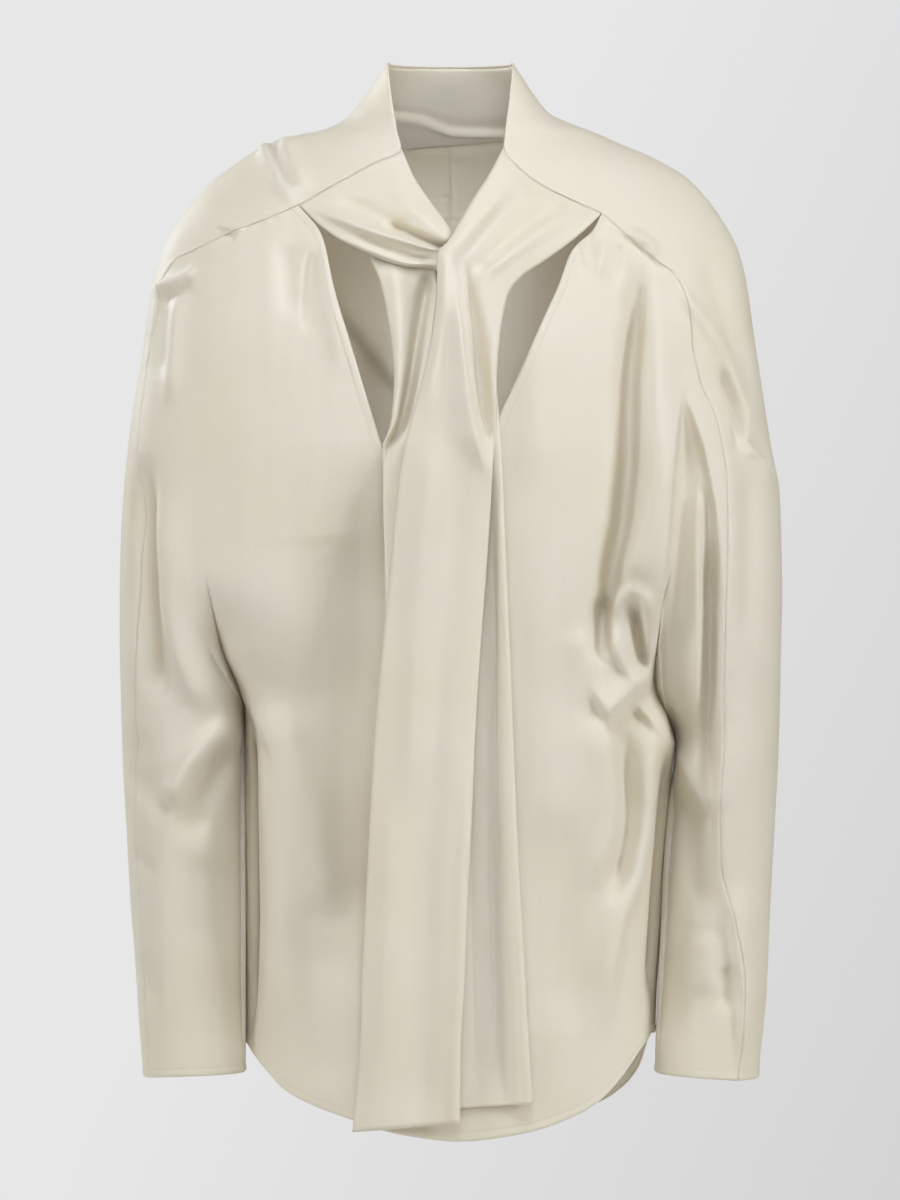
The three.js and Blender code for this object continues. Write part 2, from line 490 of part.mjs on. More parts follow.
const placeKey = (point) => point.map((value) => Math.round(value * 500)).join(' ');

function faceNormal(points, face) {
  const [a, b, c] = face.map((i) => new THREE.Vector3(...points[i]));
  return b.sub(a).cross(c.sub(a));
}

// Normals of several panels that are sewn together, so that both sides of a seam have the same one.
function skinNormals(panels) {
  const sums = new Map();
  for (const panel of panels) {
    for (const face of panel.faces) {
      const normal = faceNormal(panel.points, face);
      for (let corner = 0; corner < 3; corner += 1) {
        const [a, b, c] = [0, 1, 2].map((k) => new THREE.Vector3(...panel.points[face[(corner + k) % 3]]));
        const angle = b.sub(a).angleTo(c.sub(a));
        const key = placeKey(panel.points[face[corner]]);
        if (!sums.has(key)) sums.set(key, new THREE.Vector3());
        sums.get(key).addScaledVector(normal.clone().normalize(), angle);
      }
    }
  }
  for (const panel of panels) {
    for (const [i, [from, to, t]] of panel.chords) {
      const ends = [from, to].map((point) => sums.get(placeKey(point)).clone().normalize());
      sums.set(placeKey(panel.points[i]), ends[0].lerp(ends[1], t));
    }
  }
  for (const normal of sums.values()) normal.normalize();
  return (point) => sums.get(placeKey(point));
}

// A closed solid from a panel: the panel is its outer face, the inner face lies one wall inside.
function thicken(panel, normalAt, wall) {
  const around = panel.points.map(() => new Set());
  const edges = new Map();
  for (const face of panel.faces) {
    for (let k = 0; k < 3; k += 1) {
      const [a, b] = [face[k], face[(k + 1) % 3]];
      around[a].add(b);
      around[b].add(a);
      edges.set(`${a} ${b}`, [a, b]);
    }
  }
  const outer = [];
  const inner = [];
  panel.points.forEach((point, i) => {
    const normal = normalAt(point);
    const place = new THREE.Vector3(...point);
    if (panel.seam.has(i)) {
      let near = [...around[i]].filter((k) => !panel.seam.has(k));
      if (!near.length) near = [...around[i]];
      const way = new THREE.Vector3();
      for (const k of near) way.add(new THREE.Vector3(...panel.points[k]).sub(place).normalize());
      way.addScaledVector(normal, -way.dot(normal)).normalize();
      place.addScaledVector(way, SEAM_GAP / 2);
    }
    outer.push(place);
    inner.push(place.clone().addScaledVector(normal, -wall));
  });
  const count = outer.length;
  const triangles = [];
  for (const [a, b, c] of panel.faces) {
    triangles.push([a, b, c], [c + count, b + count, a + count]);
  }
  for (const [a, b] of edges.values()) {
    if (!edges.has(`${b} ${a}`)) triangles.push([b, a, a + count], [b, a + count, b + count]);
  }
  const geometry = new THREE.BufferGeometry();
  geometry.setAttribute('position', new THREE.Float32BufferAttribute([...outer, ...inner].flatMap((p) => p.toArray()), 3));
  geometry.setIndex(triangles.flat());
  return geometry;
}

function addMesh(group, name, geometry) {
  const mesh = new THREE.Mesh(geometry, IVORY);
  mesh.name = name;
  group.add(mesh);
}

// Where a finer row of points meets a coarser one, the points between lie on the coarser row's straight edges.
function chordPoint(panel, points, t) {
  const place = t * (points.length - 1);
  const i = Math.min(Math.floor(place + 1e-6), points.length - 2);
  const share = place - i;
  if (share < 1e-4) return panel.add(points[i], true);
  if (share > 1 - 1e-4) return panel.add(points[i + 1], true);
  const between = points[i].map((value, k) => lerp(value, points[i + 1][k], share));
  const at = panel.add(between, true);
  panel.chords.set(at, [points[i], points[i + 1], share]);
  return at;
}

// A patch of the front between four edges, each a function of 0..1 that gives x and z.
function patch(panel, edges, columns, rows, place) {
  const corner = (s, t) => (t === 0 ? edges.top(s) : edges.bottom(s));
  const out = [];
  for (let j = 0; j <= rows; j += 1) {
    const row = [];
    const t = j / rows;
    for (let i = 0; i <= columns; i += 1) {
      const s = i / columns;
      const point = [0, 1].map((k) => lerp(edges.top(s)[k], edges.bottom(s)[k], t)
        + lerp(edges.start(t)[k], edges.end(t)[k], s)
        - lerp(lerp(corner(0, 0)[k], corner(1, 0)[k], s), lerp(corner(0, 1)[k], corner(1, 1)[k], s), t));
      row.push(place(i, j, point));
    }
    out.push(row);
  }
  return out;
}
function along(points, t) {
  const place = t * (points.length - 1);
  const i = Math.min(Math.floor(place), points.length - 2);
  return points[i].map((value, k) => lerp(value, points[i + 1][k], place - i));
}

// Rows of the hanging sleeve between two angles, shared by front and back.
function hangingZ(side, share, row) {
  const cuff = lerp(side === 'right' ? -708 : -710, -704, share);
  return lerp(UNDERARM[side], cuff, row / HANG_LEVELS);
}
function hangingSleeve(panel, side, face, columns) {
  const rows = [];
  for (let j = 1; j <= HANG_LEVELS; j += 1) {
    const row = [];
    for (let i = 0; i <= columns; i += 1) {
      const end = face < 0 ? -Math.PI : Math.PI;
      const share = i / columns;
      const z = hangingZ(side, share, j);
      const angle = lerp(seamAngle(side, z), end, share);
      row.push(panel.add(sleeveRing(side, z, angle), i === 0 || i === columns));
    }
    rows.push(row);
  }
  return rows;
}
function sleeveRing(side, z, angle) {
  const outer = hull[side](z);
  const half = (outer - sleeveInner[side](z)) / 2;
  const reach = outer - half + half * Math.cos(angle);
  const y = sleeve.middle(z) + Math.sign(angle) * sleeve.deep(z) * arch(Math.cos(angle), 2.2);
  return [SIDES[side] * reach, y, z];
}
function hangingBody(panel, side, face, columns) {
  const rows = [];
  const hem = face < 0 ? frontHem : backHem;
  for (let j = 1; j <= HANG_LEVELS; j += 1) {
    const row = [];
    for (let i = 0; i <= columns; i += 1) {
      const turn = (i / columns) * (Math.PI / 2);
      const hemX = SIDES[side] * bodySide[side](-700) * Math.cos(turn);
      const low = i === 0 ? SIDE_HEM[side] : hem(i === columns ? 0 : hemX);
      const top = lerp(UNDERARM[side], CENTRE_SPLIT, smooth(i / columns, 0, 1));
      const z = lerp(top, low, j / HANG_LEVELS);
      const reach = bodySide[side](z) * Math.cos(turn);
      const x = i === columns ? 0 : SIDES[side] * reach;
      const y = i === 0 ? hull.side(z) : bodyDepth(side, x, z, face);
      row.push(panel.add([x, y, z], i === 0 || (face > 0 && i === columns)));
    }
    rows.push(row);
  }
  return rows;
}
function bodyDepth(side, x, z, face) {
  const edge = hull.side(z);
  const full = face < 0 ? hull.front(z) : hull.back(z);
  let relief = 0;
  for (const fold of face < 0 ? FRONT_FOLDS : BACK_FOLDS) relief += foldHeight(fold, x, z);
  const calm = 1 - smooth(Math.abs(x), bodySide[side](z) - 14, bodySide[side](z) + 1);
  return edge + (full - edge) * arch(x / bodySide[side](z), 2.4) + face * relief * calm;
}

// The front panel: body and both sleeve fronts in one, with the V between them.
function buildFront() {
  const panel = new Panel();
  for (const side of ['right', 'left']) {
    const sign = SIDES[side];
    const lift = ([x, z]) => [x, skinY(x, z, -1), z];
    const fromSeam = (from, to) => {
      const list = [];
      const way = Math.sign(to - from);
      for (let level = from; level !== to + way; level += way) list.push(seamPoint(side, level));
      return list;
    };
    const flat = (list) => list.map(([x, , z]) => [x, z]);
    const sleeveTop = fromSeam(FRONT_CORNER, FOLD_LEVEL);
    const sleeveSide = fromSeam(FRONT_CORNER, SPLIT_LEVEL);
    const bodyTop = fromSeam(FOLD_LEVEL, TIE_END_LEVEL);
    const underarmZ = UNDERARM[side];
    const lineTop = ARMLINE[side][0].z;
    const line = (t) => {
      const z = lerp(lineTop, underarmZ, t);
      return [sign * armline[side](z), z];
    };
    const start = seamAngle(side, underarmZ);
    const sleeveBottom = (s) => {
      const p = sleeveRing(side, underarmZ, lerp(start, -Math.PI, s));
      return [p[0], underarmZ];
    };
    const centreX = V_EDGE[side].at(-1).x;
    const bodyBottom = (s) => {
      const z = lerp(underarmZ, CENTRE_SPLIT, smooth(s, 0, 1));
      return [lerp(0, sign * bodySide[side](underarmZ), Math.cos((s * Math.PI) / 2)), z];
    };
    const vEdge = V_EDGE[side].map(({ x, z }) => [x, z]);
    const vShare = V_ROWS / FRONT_ROWS;
    const bodyEnd = (t) => (t <= vShare
      ? along(vEdge, t / vShare)
      : along([vEdge.at(-1), [0, CENTRE_SPLIT]], (t - vShare) / (1 - vShare)));

    const first = panel.faces.length;
    const sleeveRows = patch(panel, {
      top: (s) => along(flat(sleeveTop), s), bottom: sleeveBottom, start: (t) => along(flat(sleeveSide), t), end: line,
    }, SLEEVE_COLUMNS, FRONT_ROWS, (i, j, point) => {
      if (j === 0) return chordPoint(panel, sleeveTop, i / SLEEVE_COLUMNS);
      if (i === 0) return chordPoint(panel, sleeveSide, j / FRONT_ROWS);
      if (j === FRONT_ROWS) {
        const p = sleeveRing(side, underarmZ, lerp(start, -Math.PI, i / SLEEVE_COLUMNS));
        return panel.add(i === SLEEVE_COLUMNS ? [p[0], sleeve.middle(underarmZ), underarmZ] : p, i === SLEEVE_COLUMNS);
      }
      return panel.add(lift(point));
    });
    const bodyRows = patch(panel, {
      top: (s) => along(flat(bodyTop), s), bottom: bodyBottom, start: line, end: bodyEnd,
    }, BODY_COLUMNS, FRONT_ROWS, (i, j, point) => {
      if (i === 0) return sleeveRows[j][SLEEVE_COLUMNS];
      if (j === 0) return chordPoint(panel, bodyTop, i / BODY_COLUMNS);
      return panel.add(lift(point));
    });
    panel.grid(sleeveRows);
    panel.grid(bodyRows);
    panel.grid([sleeveRows.at(-1), ...hangingSleeve(panel, side, -1, SLEEVE_COLUMNS)]);
    panel.grid([bodyRows.at(-1), ...hangingBody(panel, side, -1, BODY_COLUMNS)]);
    panel.face(first, new THREE.Vector3(0, -1, 0));
  }
  return panel;
}

// A back panel: collar, yoke, back and the outer part of the sleeve, cut in one.
function buildBack(side) {
  const panel = new Panel();
  const all = BACK_SLEEVE_COLUMNS + BACK_BODY_COLUMNS;
  const rows = [];
  for (let level = 0; level <= SPLIT_LEVEL; level += 1) {
    const row = [];
    for (let column = 0; column <= all; column += 1) {
      const last = level === SPLIT_LEVEL;
      let point = backPoint(side, level, column);
      if (last && column > 0 && column <= BACK_SLEEVE_COLUMNS) {
        point = sleeveRing(side, UNDERARM[side], lerp(seamAngle(side, UNDERARM[side]), Math.PI, column / BACK_SLEEVE_COLUMNS));
        if (column === BACK_SLEEVE_COLUMNS) point[1] = sleeve.middle(UNDERARM[side]);
      }
      const onSeam = (column === 0 && level >= NECK_LEVEL) || column === all || (last && column === BACK_SLEEVE_COLUMNS);
      row.push(panel.add(point, onSeam));
    }
    rows.push(row);
  }
  panel.grid(rows);
  const low = rows.at(-1);
  panel.grid([low.slice(0, BACK_SLEEVE_COLUMNS + 1), ...hangingSleeve(panel, side, 1, BACK_SLEEVE_COLUMNS)]);
  panel.grid([low.slice(BACK_SLEEVE_COLUMNS), ...hangingBody(panel, side, 1, BACK_BODY_COLUMNS)]);
  panel.face(0, new THREE.Vector3(0, 1, 0));
  return panel;
}

// One stretch of the tie, laid over the body with its lift, crown and lengthwise folds.
function tieHeight(folds, s, z) {
  let height = 0;
  for (const fold of folds) {
    const t = (z - fold.from) / (fold.to - fold.from);
    if (t <= 0 || t >= 1) continue;
    const fade = smooth(t, 0, 0.25) * (1 - smooth(t, 0.75, 1));
    height += fold.high * fade * Math.exp(-(((s - lerp(fold.at, fold.endAt, t)) / fold.wide) ** 2));
  }
  return height;
}
function buildTie(table, folds, columns, rows, root) {
  const panel = new Panel();
  const grid = [];
  for (let j = 0; j <= rows; j += 1) {
    const row = [];
    const place = (j / rows) * (table.length - 1);
    const k = Math.min(Math.floor(place), table.length - 2);
    const at = (name) => lerp(table[k][name], table[k + 1][name], place - k);
    for (let i = 0; i <= columns; i += 1) {
      const s = i / columns;
      if (j === 0 && root) {
        row.push(chordPoint(panel, root, s));
        continue;
      }
      const x = lerp(at('ax'), at('bx'), s);
      const z = lerp(at('az'), at('bz'), s);
      const bulge = at('crown') * (1 - (2 * s - 1) ** 2) + tieHeight(folds, s, z);
      row.push(panel.add([x, bodyForTie(x, z) - at('lift') - bulge, z]));
    }
    grid.push(row);
  }
  panel.grid(grid);
  panel.face(0, new THREE.Vector3(0, -1, 0));
  return panel;
}
function bodyForTie(x, z) {
  const side = x < 0 ? 'right' : 'left';
  const edge = hull.side(z);
  return edge + (hull.front(z) - edge) * arch(x / hull[side](z), hull.power(z));
}

// The facing inside the back collar, made from the points of the back panels moved in.
function buildFacing(normalAt) {
  const panel = new Panel();
  const edge = curve(FACING_EDGE, 'x', 'level');
  const all = BACK_SLEEVE_COLUMNS + BACK_BODY_COLUMNS;
  const columns = [];
  for (let column = FACING_START; column <= all; column += 1) columns.push(['right', column]);
  for (let column = all - 1; column >= FACING_START; column -= 1) columns.push(['left', column]);
  const moved = (side, level, column) => {
    const point = backPoint(side, level, column);
    return new THREE.Vector3(...point).addScaledVector(normalAt(point), -WALL - FACING_INSET);
  };
  const grid = [];
  for (let j = 0; j < FACING_LEVELS.length + 2; j += 1) {
    const row = [];
    for (const [side, column] of columns) {
      const foot = edge(backPoint(side, 3, column)[0]);
      const level = [...FACING_LEVELS, foot > 4 ? 4 : (3 + foot) / 2, foot][j];
      const under = Math.floor(level);
      const point = moved(side, under, column).lerp(moved(side, under + 1, column), level - under);
      row.push(panel.add(point.toArray()));
    }
    grid.push(row);
  }
  panel.grid(grid);
  panel.face(0, new THREE.Vector3(0, 1, 0));
  return panel;
}

const blouse = new THREE.Group();
const front = buildFront();
const backRight = buildBack('right');
const backLeft = buildBack('left');
const roots = {};
for (const side of ['right', 'left']) {
  roots[side] = [];
  for (let level = NECK_LEVEL; level <= TIE_END_LEVEL; level += 1) roots[side].push(seamPoint(side, level));
}
const tieRight = buildTie(TIE_RIGHT, TIE_FOLDS.right, 8, 30, roots.right);
const tieLeft = buildTie(TIE_LEFT, TIE_FOLDS.left, 8, 30, roots.left);
const tieFold = buildTie(TIE_FOLD, TIE_FOLDS.fold, 4, 14, null);

const skin = skinNormals([front, backRight, backLeft, tieRight, tieLeft]);
const facing = buildFacing(skin);

addMesh(blouse, 'front', thicken(front, skin, WALL));
addMesh(blouse, 'back_right', thicken(backRight, skin, WALL));
addMesh(blouse, 'back_left', thicken(backLeft, skin, WALL));
addMesh(blouse, 'tie_right', thicken(tieRight, skin, TIE_WALL));
addMesh(blouse, 'tie_left', thicken(tieLeft, skin, TIE_WALL));
addMesh(blouse, 'tie_fold', thicken(tieFold, skinNormals([tieFold]), TIE_WALL));
addMesh(blouse, 'neck_facing', thicken(facing, skinNormals([facing]), FACING_WALL));

export default blouse;
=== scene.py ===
# %% [markdown]
# An ivory blouse with a wide tie, filled out as if it were worn. It is soft cloth throughout, so its
# shape is all in the surface. Each cut-and-sewn piece is built as a sheet of cloth on a grid, takes its
# folds from a list of paths, gets a thin wall from a modifier and sewn edges as relief, and is then lit
# softly. Lengths in the tables are millimetres. The wearer faces -Y, so "right" pieces are at -X.

# %% Load the measured model
import math
import bmesh
import bpy
import numpy as np
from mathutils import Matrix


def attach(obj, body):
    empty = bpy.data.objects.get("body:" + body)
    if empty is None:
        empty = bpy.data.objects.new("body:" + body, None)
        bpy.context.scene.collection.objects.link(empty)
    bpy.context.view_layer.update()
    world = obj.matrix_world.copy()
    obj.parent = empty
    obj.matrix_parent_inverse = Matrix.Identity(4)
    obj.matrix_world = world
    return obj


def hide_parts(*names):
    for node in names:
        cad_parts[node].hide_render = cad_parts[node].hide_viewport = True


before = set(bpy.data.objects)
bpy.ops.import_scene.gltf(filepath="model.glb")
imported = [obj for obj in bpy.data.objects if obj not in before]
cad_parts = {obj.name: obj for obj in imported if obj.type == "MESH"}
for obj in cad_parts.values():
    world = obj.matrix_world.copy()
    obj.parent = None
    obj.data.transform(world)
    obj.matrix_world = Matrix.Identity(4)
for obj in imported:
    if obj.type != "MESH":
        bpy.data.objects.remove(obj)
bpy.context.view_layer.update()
print("nodes", sorted(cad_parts))

# %% [markdown]
# A pattern cutter keeps the sizes of a garment in tables. Each table here has named columns and a row
# for each section or seam point, and a smooth curve is read through a column, so a few rows give a
# whole surface.

# %% Reading a table
MM = 0.001


def table(names, rows):
    keys = names.split()
    return [dict(zip(keys, row)) for row in rows]


def curve(rows, given, wanted):
    points = sorted((row[given], row[wanted]) for row in rows)
    xs = np.array([p[0] for p in points], float)
    ys = np.array([p[1] for p in points], float)
    steps = np.diff(ys) / np.diff(xs)
    slopes = np.concatenate([steps[:1], np.zeros(len(xs) - 2), steps[-1:]])
    turning = steps[:-1] * steps[1:] > 0
    with np.errstate(divide="ignore", invalid="ignore"):
        middle = 2 * steps[:-1] * steps[1:] / (steps[:-1] + steps[1:])
    slopes[1:-1] = np.where(turning, middle, 0)

    def read(value):
        v = np.clip(np.asarray(value, float), xs[0], xs[-1])
        i = np.clip(np.searchsorted(xs, v, side="right") - 1, 0, len(xs) - 2)
        wide = xs[i + 1] - xs[i]
        t = (v - xs[i]) / wide
        return (
            (2 * t**3 - 3 * t**2 + 1) * ys[i]
            + (t**3 - 2 * t**2 + t) * wide * slopes[i]
            + (3 * t**2 - 2 * t**3) * ys[i + 1]
            + (t**3 - t**2) * wide * slopes[i + 1]
        )

    return read


def mix(a, b, t):
    return a + (b - a) * t


def smooth(value, low, high):
    t = np.clip((np.asarray(value, float) - low) / (high - low), 0, 1)
    return t * t * (3 - 2 * t)


# %% [markdown]
# The blouse has no frame of its own: its form is the body that fills it. It is given by level sections,
# as a dressmaker's dummy is made from measurements: how far it reaches to each side, to the front and to
# the back, where its side lies and how square its oval is. The sleeves have a middle and a depth of
# their own. A sculpted mesh could give the same form, but its sizes couldn't be read or changed.

# %% Horizontal sections of the whole form
HULL = table("z right left front back side power", [
    (51, 46.9, 46.9, -46, 62, 4, 2.2), (39, 55.5, 54.6, -50, 64, 4, 2.2),
    (26, 64.1, 63.4, -54, 66, 4, 2.1), (12.8, 75.4, 74.6, -58, 68, 4, 2.0),
    (7, 81.5, 86.5, -60, 70, 4, 1.9), (0, 97.9, 104.6, -63, 73, 3, 1.75),
    (-4.5, 122, 115.5, -65, 75, 3, 1.65), (-9.8, 137, 127, -68, 78, 2, 1.6),
    (-17, 150, 145, -72, 83, 2, 1.6), (-25, 161.6, 161, -75, 87, 1, 1.7),
    (-36, 176.6, 178, -79, 92, 0, 1.8), (-49, 189.4, 190.5, -84, 97, -1, 1.95),
    (-66, 202.9, 202.9, -91, 101, -2, 2.1), (-86, 214.1, 214.1, -99, 104, -3, 2.2),
    (-105, 220.1, 219.9, -105, 106, -4, 2.25), (-127.5, 225.4, 223.9, -111, 107, -5, 2.3),
    (-150, 228.4, 226.9, -116, 107, -5, 2.35), (-180, 232.9, 231.4, -120, 106, -6, 2.35),
    (-210, 238.1, 235.9, -123, 105, -6, 2.35), (-240, 241.9, 240.8, -125, 104, -6, 2.35),
    (-270, 244.9, 246.4, -125, 103, -6, 2.35), (-307, 247.1, 247.9, -124, 102, -5, 2.4),
    (-345, 247.9, 248.6, -123, 102, -4, 2.4), (-382, 247.9, 247.9, -122, 102, -3, 2.4),
    (-427, 247.1, 247.1, -121, 103, -2, 2.4), (-472, 245.6, 245.6, -120, 104, 0, 2.4),
    (-525, 242.6, 242.6, -118, 105, 2, 2.4), (-577, 239.6, 239.6, -116, 106, 4, 2.4),
    (-622, 235.9, 237.4, -115, 107, 5, 2.4), (-667, 232.9, 233.6, -114, 108, 5, 2.4),
    (-712, 229.1, 229.9, -113, 108, 5, 2.4), (-755, 226, 226, -112, 108, 5, 2.4),
])
SLEEVE = table("z middle deep", [
    (-100, -4, 84), (-225, -5, 78), (-345, -4, 72), (-433, -2, 65),
    (-459, -3, 63), (-560, -12, 54), (-640, -22, 45), (-712, -30, 38),
])
print(len(HULL), "sections of the form")

# %% [markdown]
# The seams and edges are the lines that a cutter draws. The shoulder seam is listed by level, from the
# top of the collar down to the arm, and the other lines by height or by width. The points were read off
# the photograph. Those of the back, which it doesn't show, are guesses that keep the same widths.

# %% Seams and edges
NECK, TIE_END, FOLD, CORNER, LAST, SPLIT = 6, 10, 13, 15, 17, 31
SEAM = {
    "right": table("level x z", [
        (0, 46.9, 51), (1, 45.8, 39), (2, 44.6, 28.5), (3, 43.1, 18), (4, 41.2, 7.5), (5, 39.8, -2.2),
        (6, 36.4, -16.5), (7, 56.6, -27), (8, 79.1, -39), (9, 96.4, -48.8), (10, 112.9, -58.5),
        (11, 130.1, -66), (12, 147.4, -72.8), (13, 165.4, -79.5), (14, 185.6, -89.2), (15, 204.4, -98.2),
        (16, 214.1, -111), (17, 220.1, -131.2),
    ]),
    "left": table("level x z", [
        (0, 46.9, 51), (1, 45.8, 39), (2, 44.6, 28.5), (3, 43.5, 18), (4, 42, 7.5), (5, 40.7, -2.2),
        (6, 39.4, -15), (7, 48.4, -28.5), (8, 67.1, -43.5), (9, 89.6, -54.8), (10, 112.1, -65.2),
        (11, 125.6, -76.5), (12, 139.1, -88.5), (13, 152.6, -99.8), (14, 166.1, -110.2), (15, 174.4, -126),
        (16, 178.1, -146.2), (17, 179.6, -166.5),
    ]),
}
OVERARM = {
    "right": table("z x", [
        (-131.2, 220.1), (-161.2, 224.6), (-191.2, 228.4), (-225, 231.4), (-258.8, 233.6), (-292.5, 235.1),
        (-326.2, 235.9), (-397.5, 235.9), (-433.5, 235.1), (-502.5, 235.1), (-577.5, 232.1),
        (-652.5, 227.6),
        (-712, 223.9),
    ]),
    "left": table("z x", [
        (-166.5, 179.6), (-192, 185.6), (-210.8, 193.9), (-237.8, 199.9), (-270, 203.6), (-303.8, 203.6),
        (-341.2, 202.9), (-420, 201.4), (-459, 201.4), (-502.5, 200.6), (-547.5, 201.4), (-592.5, 211.9),
        (-637.5, 219.4), (-675, 217.9), (-712, 213.4),
    ]),
}
ARMLINE = {
    "right": table("z x", [
        (-79.5, 165.4), (-127.5, 183), (-172.5, 195), (-217.5, 204.5), (-255, 209), (-292.5, 199.1),
        (-326.2, 184.1), (-382.5, 171.4), (-433.5, 154.1),
    ]),
    "left": table("z x", [
        (-99.8, 152.6), (-153.8, 160), (-198.8, 165), (-240, 168), (-285, 168), (-326.2, 163.9),
        (-367.5, 154.1), (-412.5, 150.4), (-459, 168.4),
    ]),
}
BACK_ARMLINE = {
    "right": (37.1, 39.4, 42.4, 45.4, 52.9, 66.4, 79.1, 94.1, 112.9, 127.9, 141.4, 150.4, 159.4, 168.4, 176.6,
              183.4, 189.4, 195.4),
    "left": (37.1, 39.4, 42.4, 45.4, 52.9, 65.6, 79.1, 94.1, 112.9, 128.6, 142.1, 151.1, 157.1, 161.1, 165.6,
             168.4, 170.1, 173.4),
}
SLEEVE_INNER = {
    "right": table("z x", [(-433.5, 154.1), (-487.5, 153.2), (-540, 153.2), (-615, 153), (-712, 153)]),
    "left": table("z x", [
        (-459, 168.4), (-502.5, 163), (-547.5, 159.4), (-600, 157), (-637.5, 154.8), (-712, 152.3),
    ]),
}
BODY_SIDE = {
    "right": table("z x", [
        (-433.5, 154.1), (-453.8, 153.9), (-495, 153.8), (-577.5, 153.8), (-755, 153.6),
    ]),
    "left": table("z x", [
        (-459, 168.4), (-487.5, 165.2), (-540, 160.6), (-600, 157.6), (-652.5, 154.4), (-755, 152),
    ]),
}
V_EDGE = {
    "right": [
        (-112.9, -58.5), (-95.5, -81.3), (-85.7, -122.6), (-74.5, -159.9), (-63.3, -197.1),
        (-49.9, -239.4), (-29.9, -293.4), (-12.2, -339.9),
    ],
    "left": [
        (112.1, -65.2), (106, -77), (90, -93), (79.5, -120), (66.3, -148.8), (51.4, -182.3),
        (36.6, -213.5), (10.7, -278.6), (-12.2, -339.9),
    ],
}
FRONT_HEM = table("x z", [
    (-153, -684), (-141, -698), (-123, -716), (-104, -726), (-82, -734), (-37, -747.6), (7, -752.6),
    (51, -747.6), (96, -733), (113, -722), (128, -706), (140, -689), (150, -676),
])
BACK_HEM = table("x z", [
    (-153, -684), (-141, -697), (-123, -713), (-104, -723), (-82, -731), (-37, -744), (0, -748), (51, -748),
    (96, -739), (116, -731), (132, -719), (143, -703), (150, -676),
])
UNDERARM = {"right": -433.5, "left": -459.0}
SIDE_HEM = {"right": -684.0, "left": -676.0}
CENTRE_SPLIT = -446.0
SIGN = {"right": -1, "left": 1}
print("shoulder seam levels", len(SEAM["right"]), "and", len(SEAM["left"]))

# %% [markdown]
# The garment is one skin before it is cut into pieces. At the chest its section is a single wide oval,
# and at the underarm it has parted into a body and two sleeves. The skin mixes the two by height, so
# the fold line between sleeve and body deepens towards the underarm, as cloth does there.

# %% The skin of the garment
hull = {key: curve(HULL, "z", key) for key in ("right", "left", "front", "back", "side", "power")}
sleeve_middle = curve(SLEEVE, "z", "middle")
sleeve_deep = curve(SLEEVE, "z", "deep")
overarm = {side: curve(OVERARM[side], "z", "x") for side in SIGN}
armline = {side: curve(ARMLINE[side], "z", "x") for side in SIGN}
inner_edge = {side: curve(ARMLINE[side][:-1] + SLEEVE_INNER[side], "z", "x") for side in SIGN}
body_side = {side: curve(ARMLINE[side][:-1] + BODY_SIDE[side], "z", "x") for side in SIGN}
front_hem = curve(FRONT_HEM, "x", "z")
back_hem = curve(BACK_HEM, "x", "z")
FOLD_START = {"right": -325.0, "left": -300.0}
BODY_POWER, SLEEVE_POWER = 2.4, 2.2


def arch(u, power):
    return np.maximum(0, 1 - np.minimum(1, np.abs(u)) ** power) ** (1 / power)


def parted(z, side):
    return smooth(-np.asarray(z), -FOLD_START[side], -UNDERARM[side]) ** 1.2


def skin_y(x, z, face, side):
    reach = np.abs(x)
    edge = hull["side"](z)
    full = np.where(face < 0, hull["front"](z), hull["back"](z))
    outer = hull[side](z)
    wide = edge + (full - edge) * arch(reach / outer, hull["power"](z))
    inner = inner_edge[side](z)
    body = body_side[side](z)
    half = (outer - inner) / 2
    on_body = edge + (full - edge) * arch(reach / body, BODY_POWER)
    on_sleeve = sleeve_middle(z) + face * sleeve_deep(z) * arch((reach - outer + half) / half, SLEEVE_POWER)
    split = np.where(reach > (inner + body) / 2, on_sleeve, on_body)
    return mix(wide, split, parted(z, side))


print("chest depth", round(float(hull["back"](-262) - hull["front"](-262))), "mm")

# %% [markdown]
# Folds are the character of this cloth. A simulation could make some, but not in the places where this
# blouse has them, so each one is a soft ridge or trough along a path of a few points. Its reach is near
# on the viewer's left of a path that runs down and far on the right, high is its height, and lean moves
# its crest. The front's paths were read as pixels of the photograph, one by one, and the first cell
# turns them into millimetres on the front of the blouse. The hidden back's are made up, and as
# uneven.

# %% From photograph pixels to millimetres
PIXEL, CAMERA_AWAY, EYE_HEIGHT, FRONT_DEPTH = 0.75, 8000.0, -352.0, -95.0
PHOTO_MIDDLE, PHOTO_ZERO_ROW = 450.5, 130


def from_photo(pixel):
    nearer = (CAMERA_AWAY + FRONT_DEPTH) / CAMERA_AWAY
    x = (pixel[0] - PHOTO_MIDDLE) * PIXEL * nearer
    z = EYE_HEIGHT + ((PHOTO_ZERO_ROW - pixel[1]) * PIXEL - EYE_HEIGHT) * nearer
    return round(x, 1), round(z, 1)


print("a pixel is", PIXEL, "mm in the plane of the shoulders")

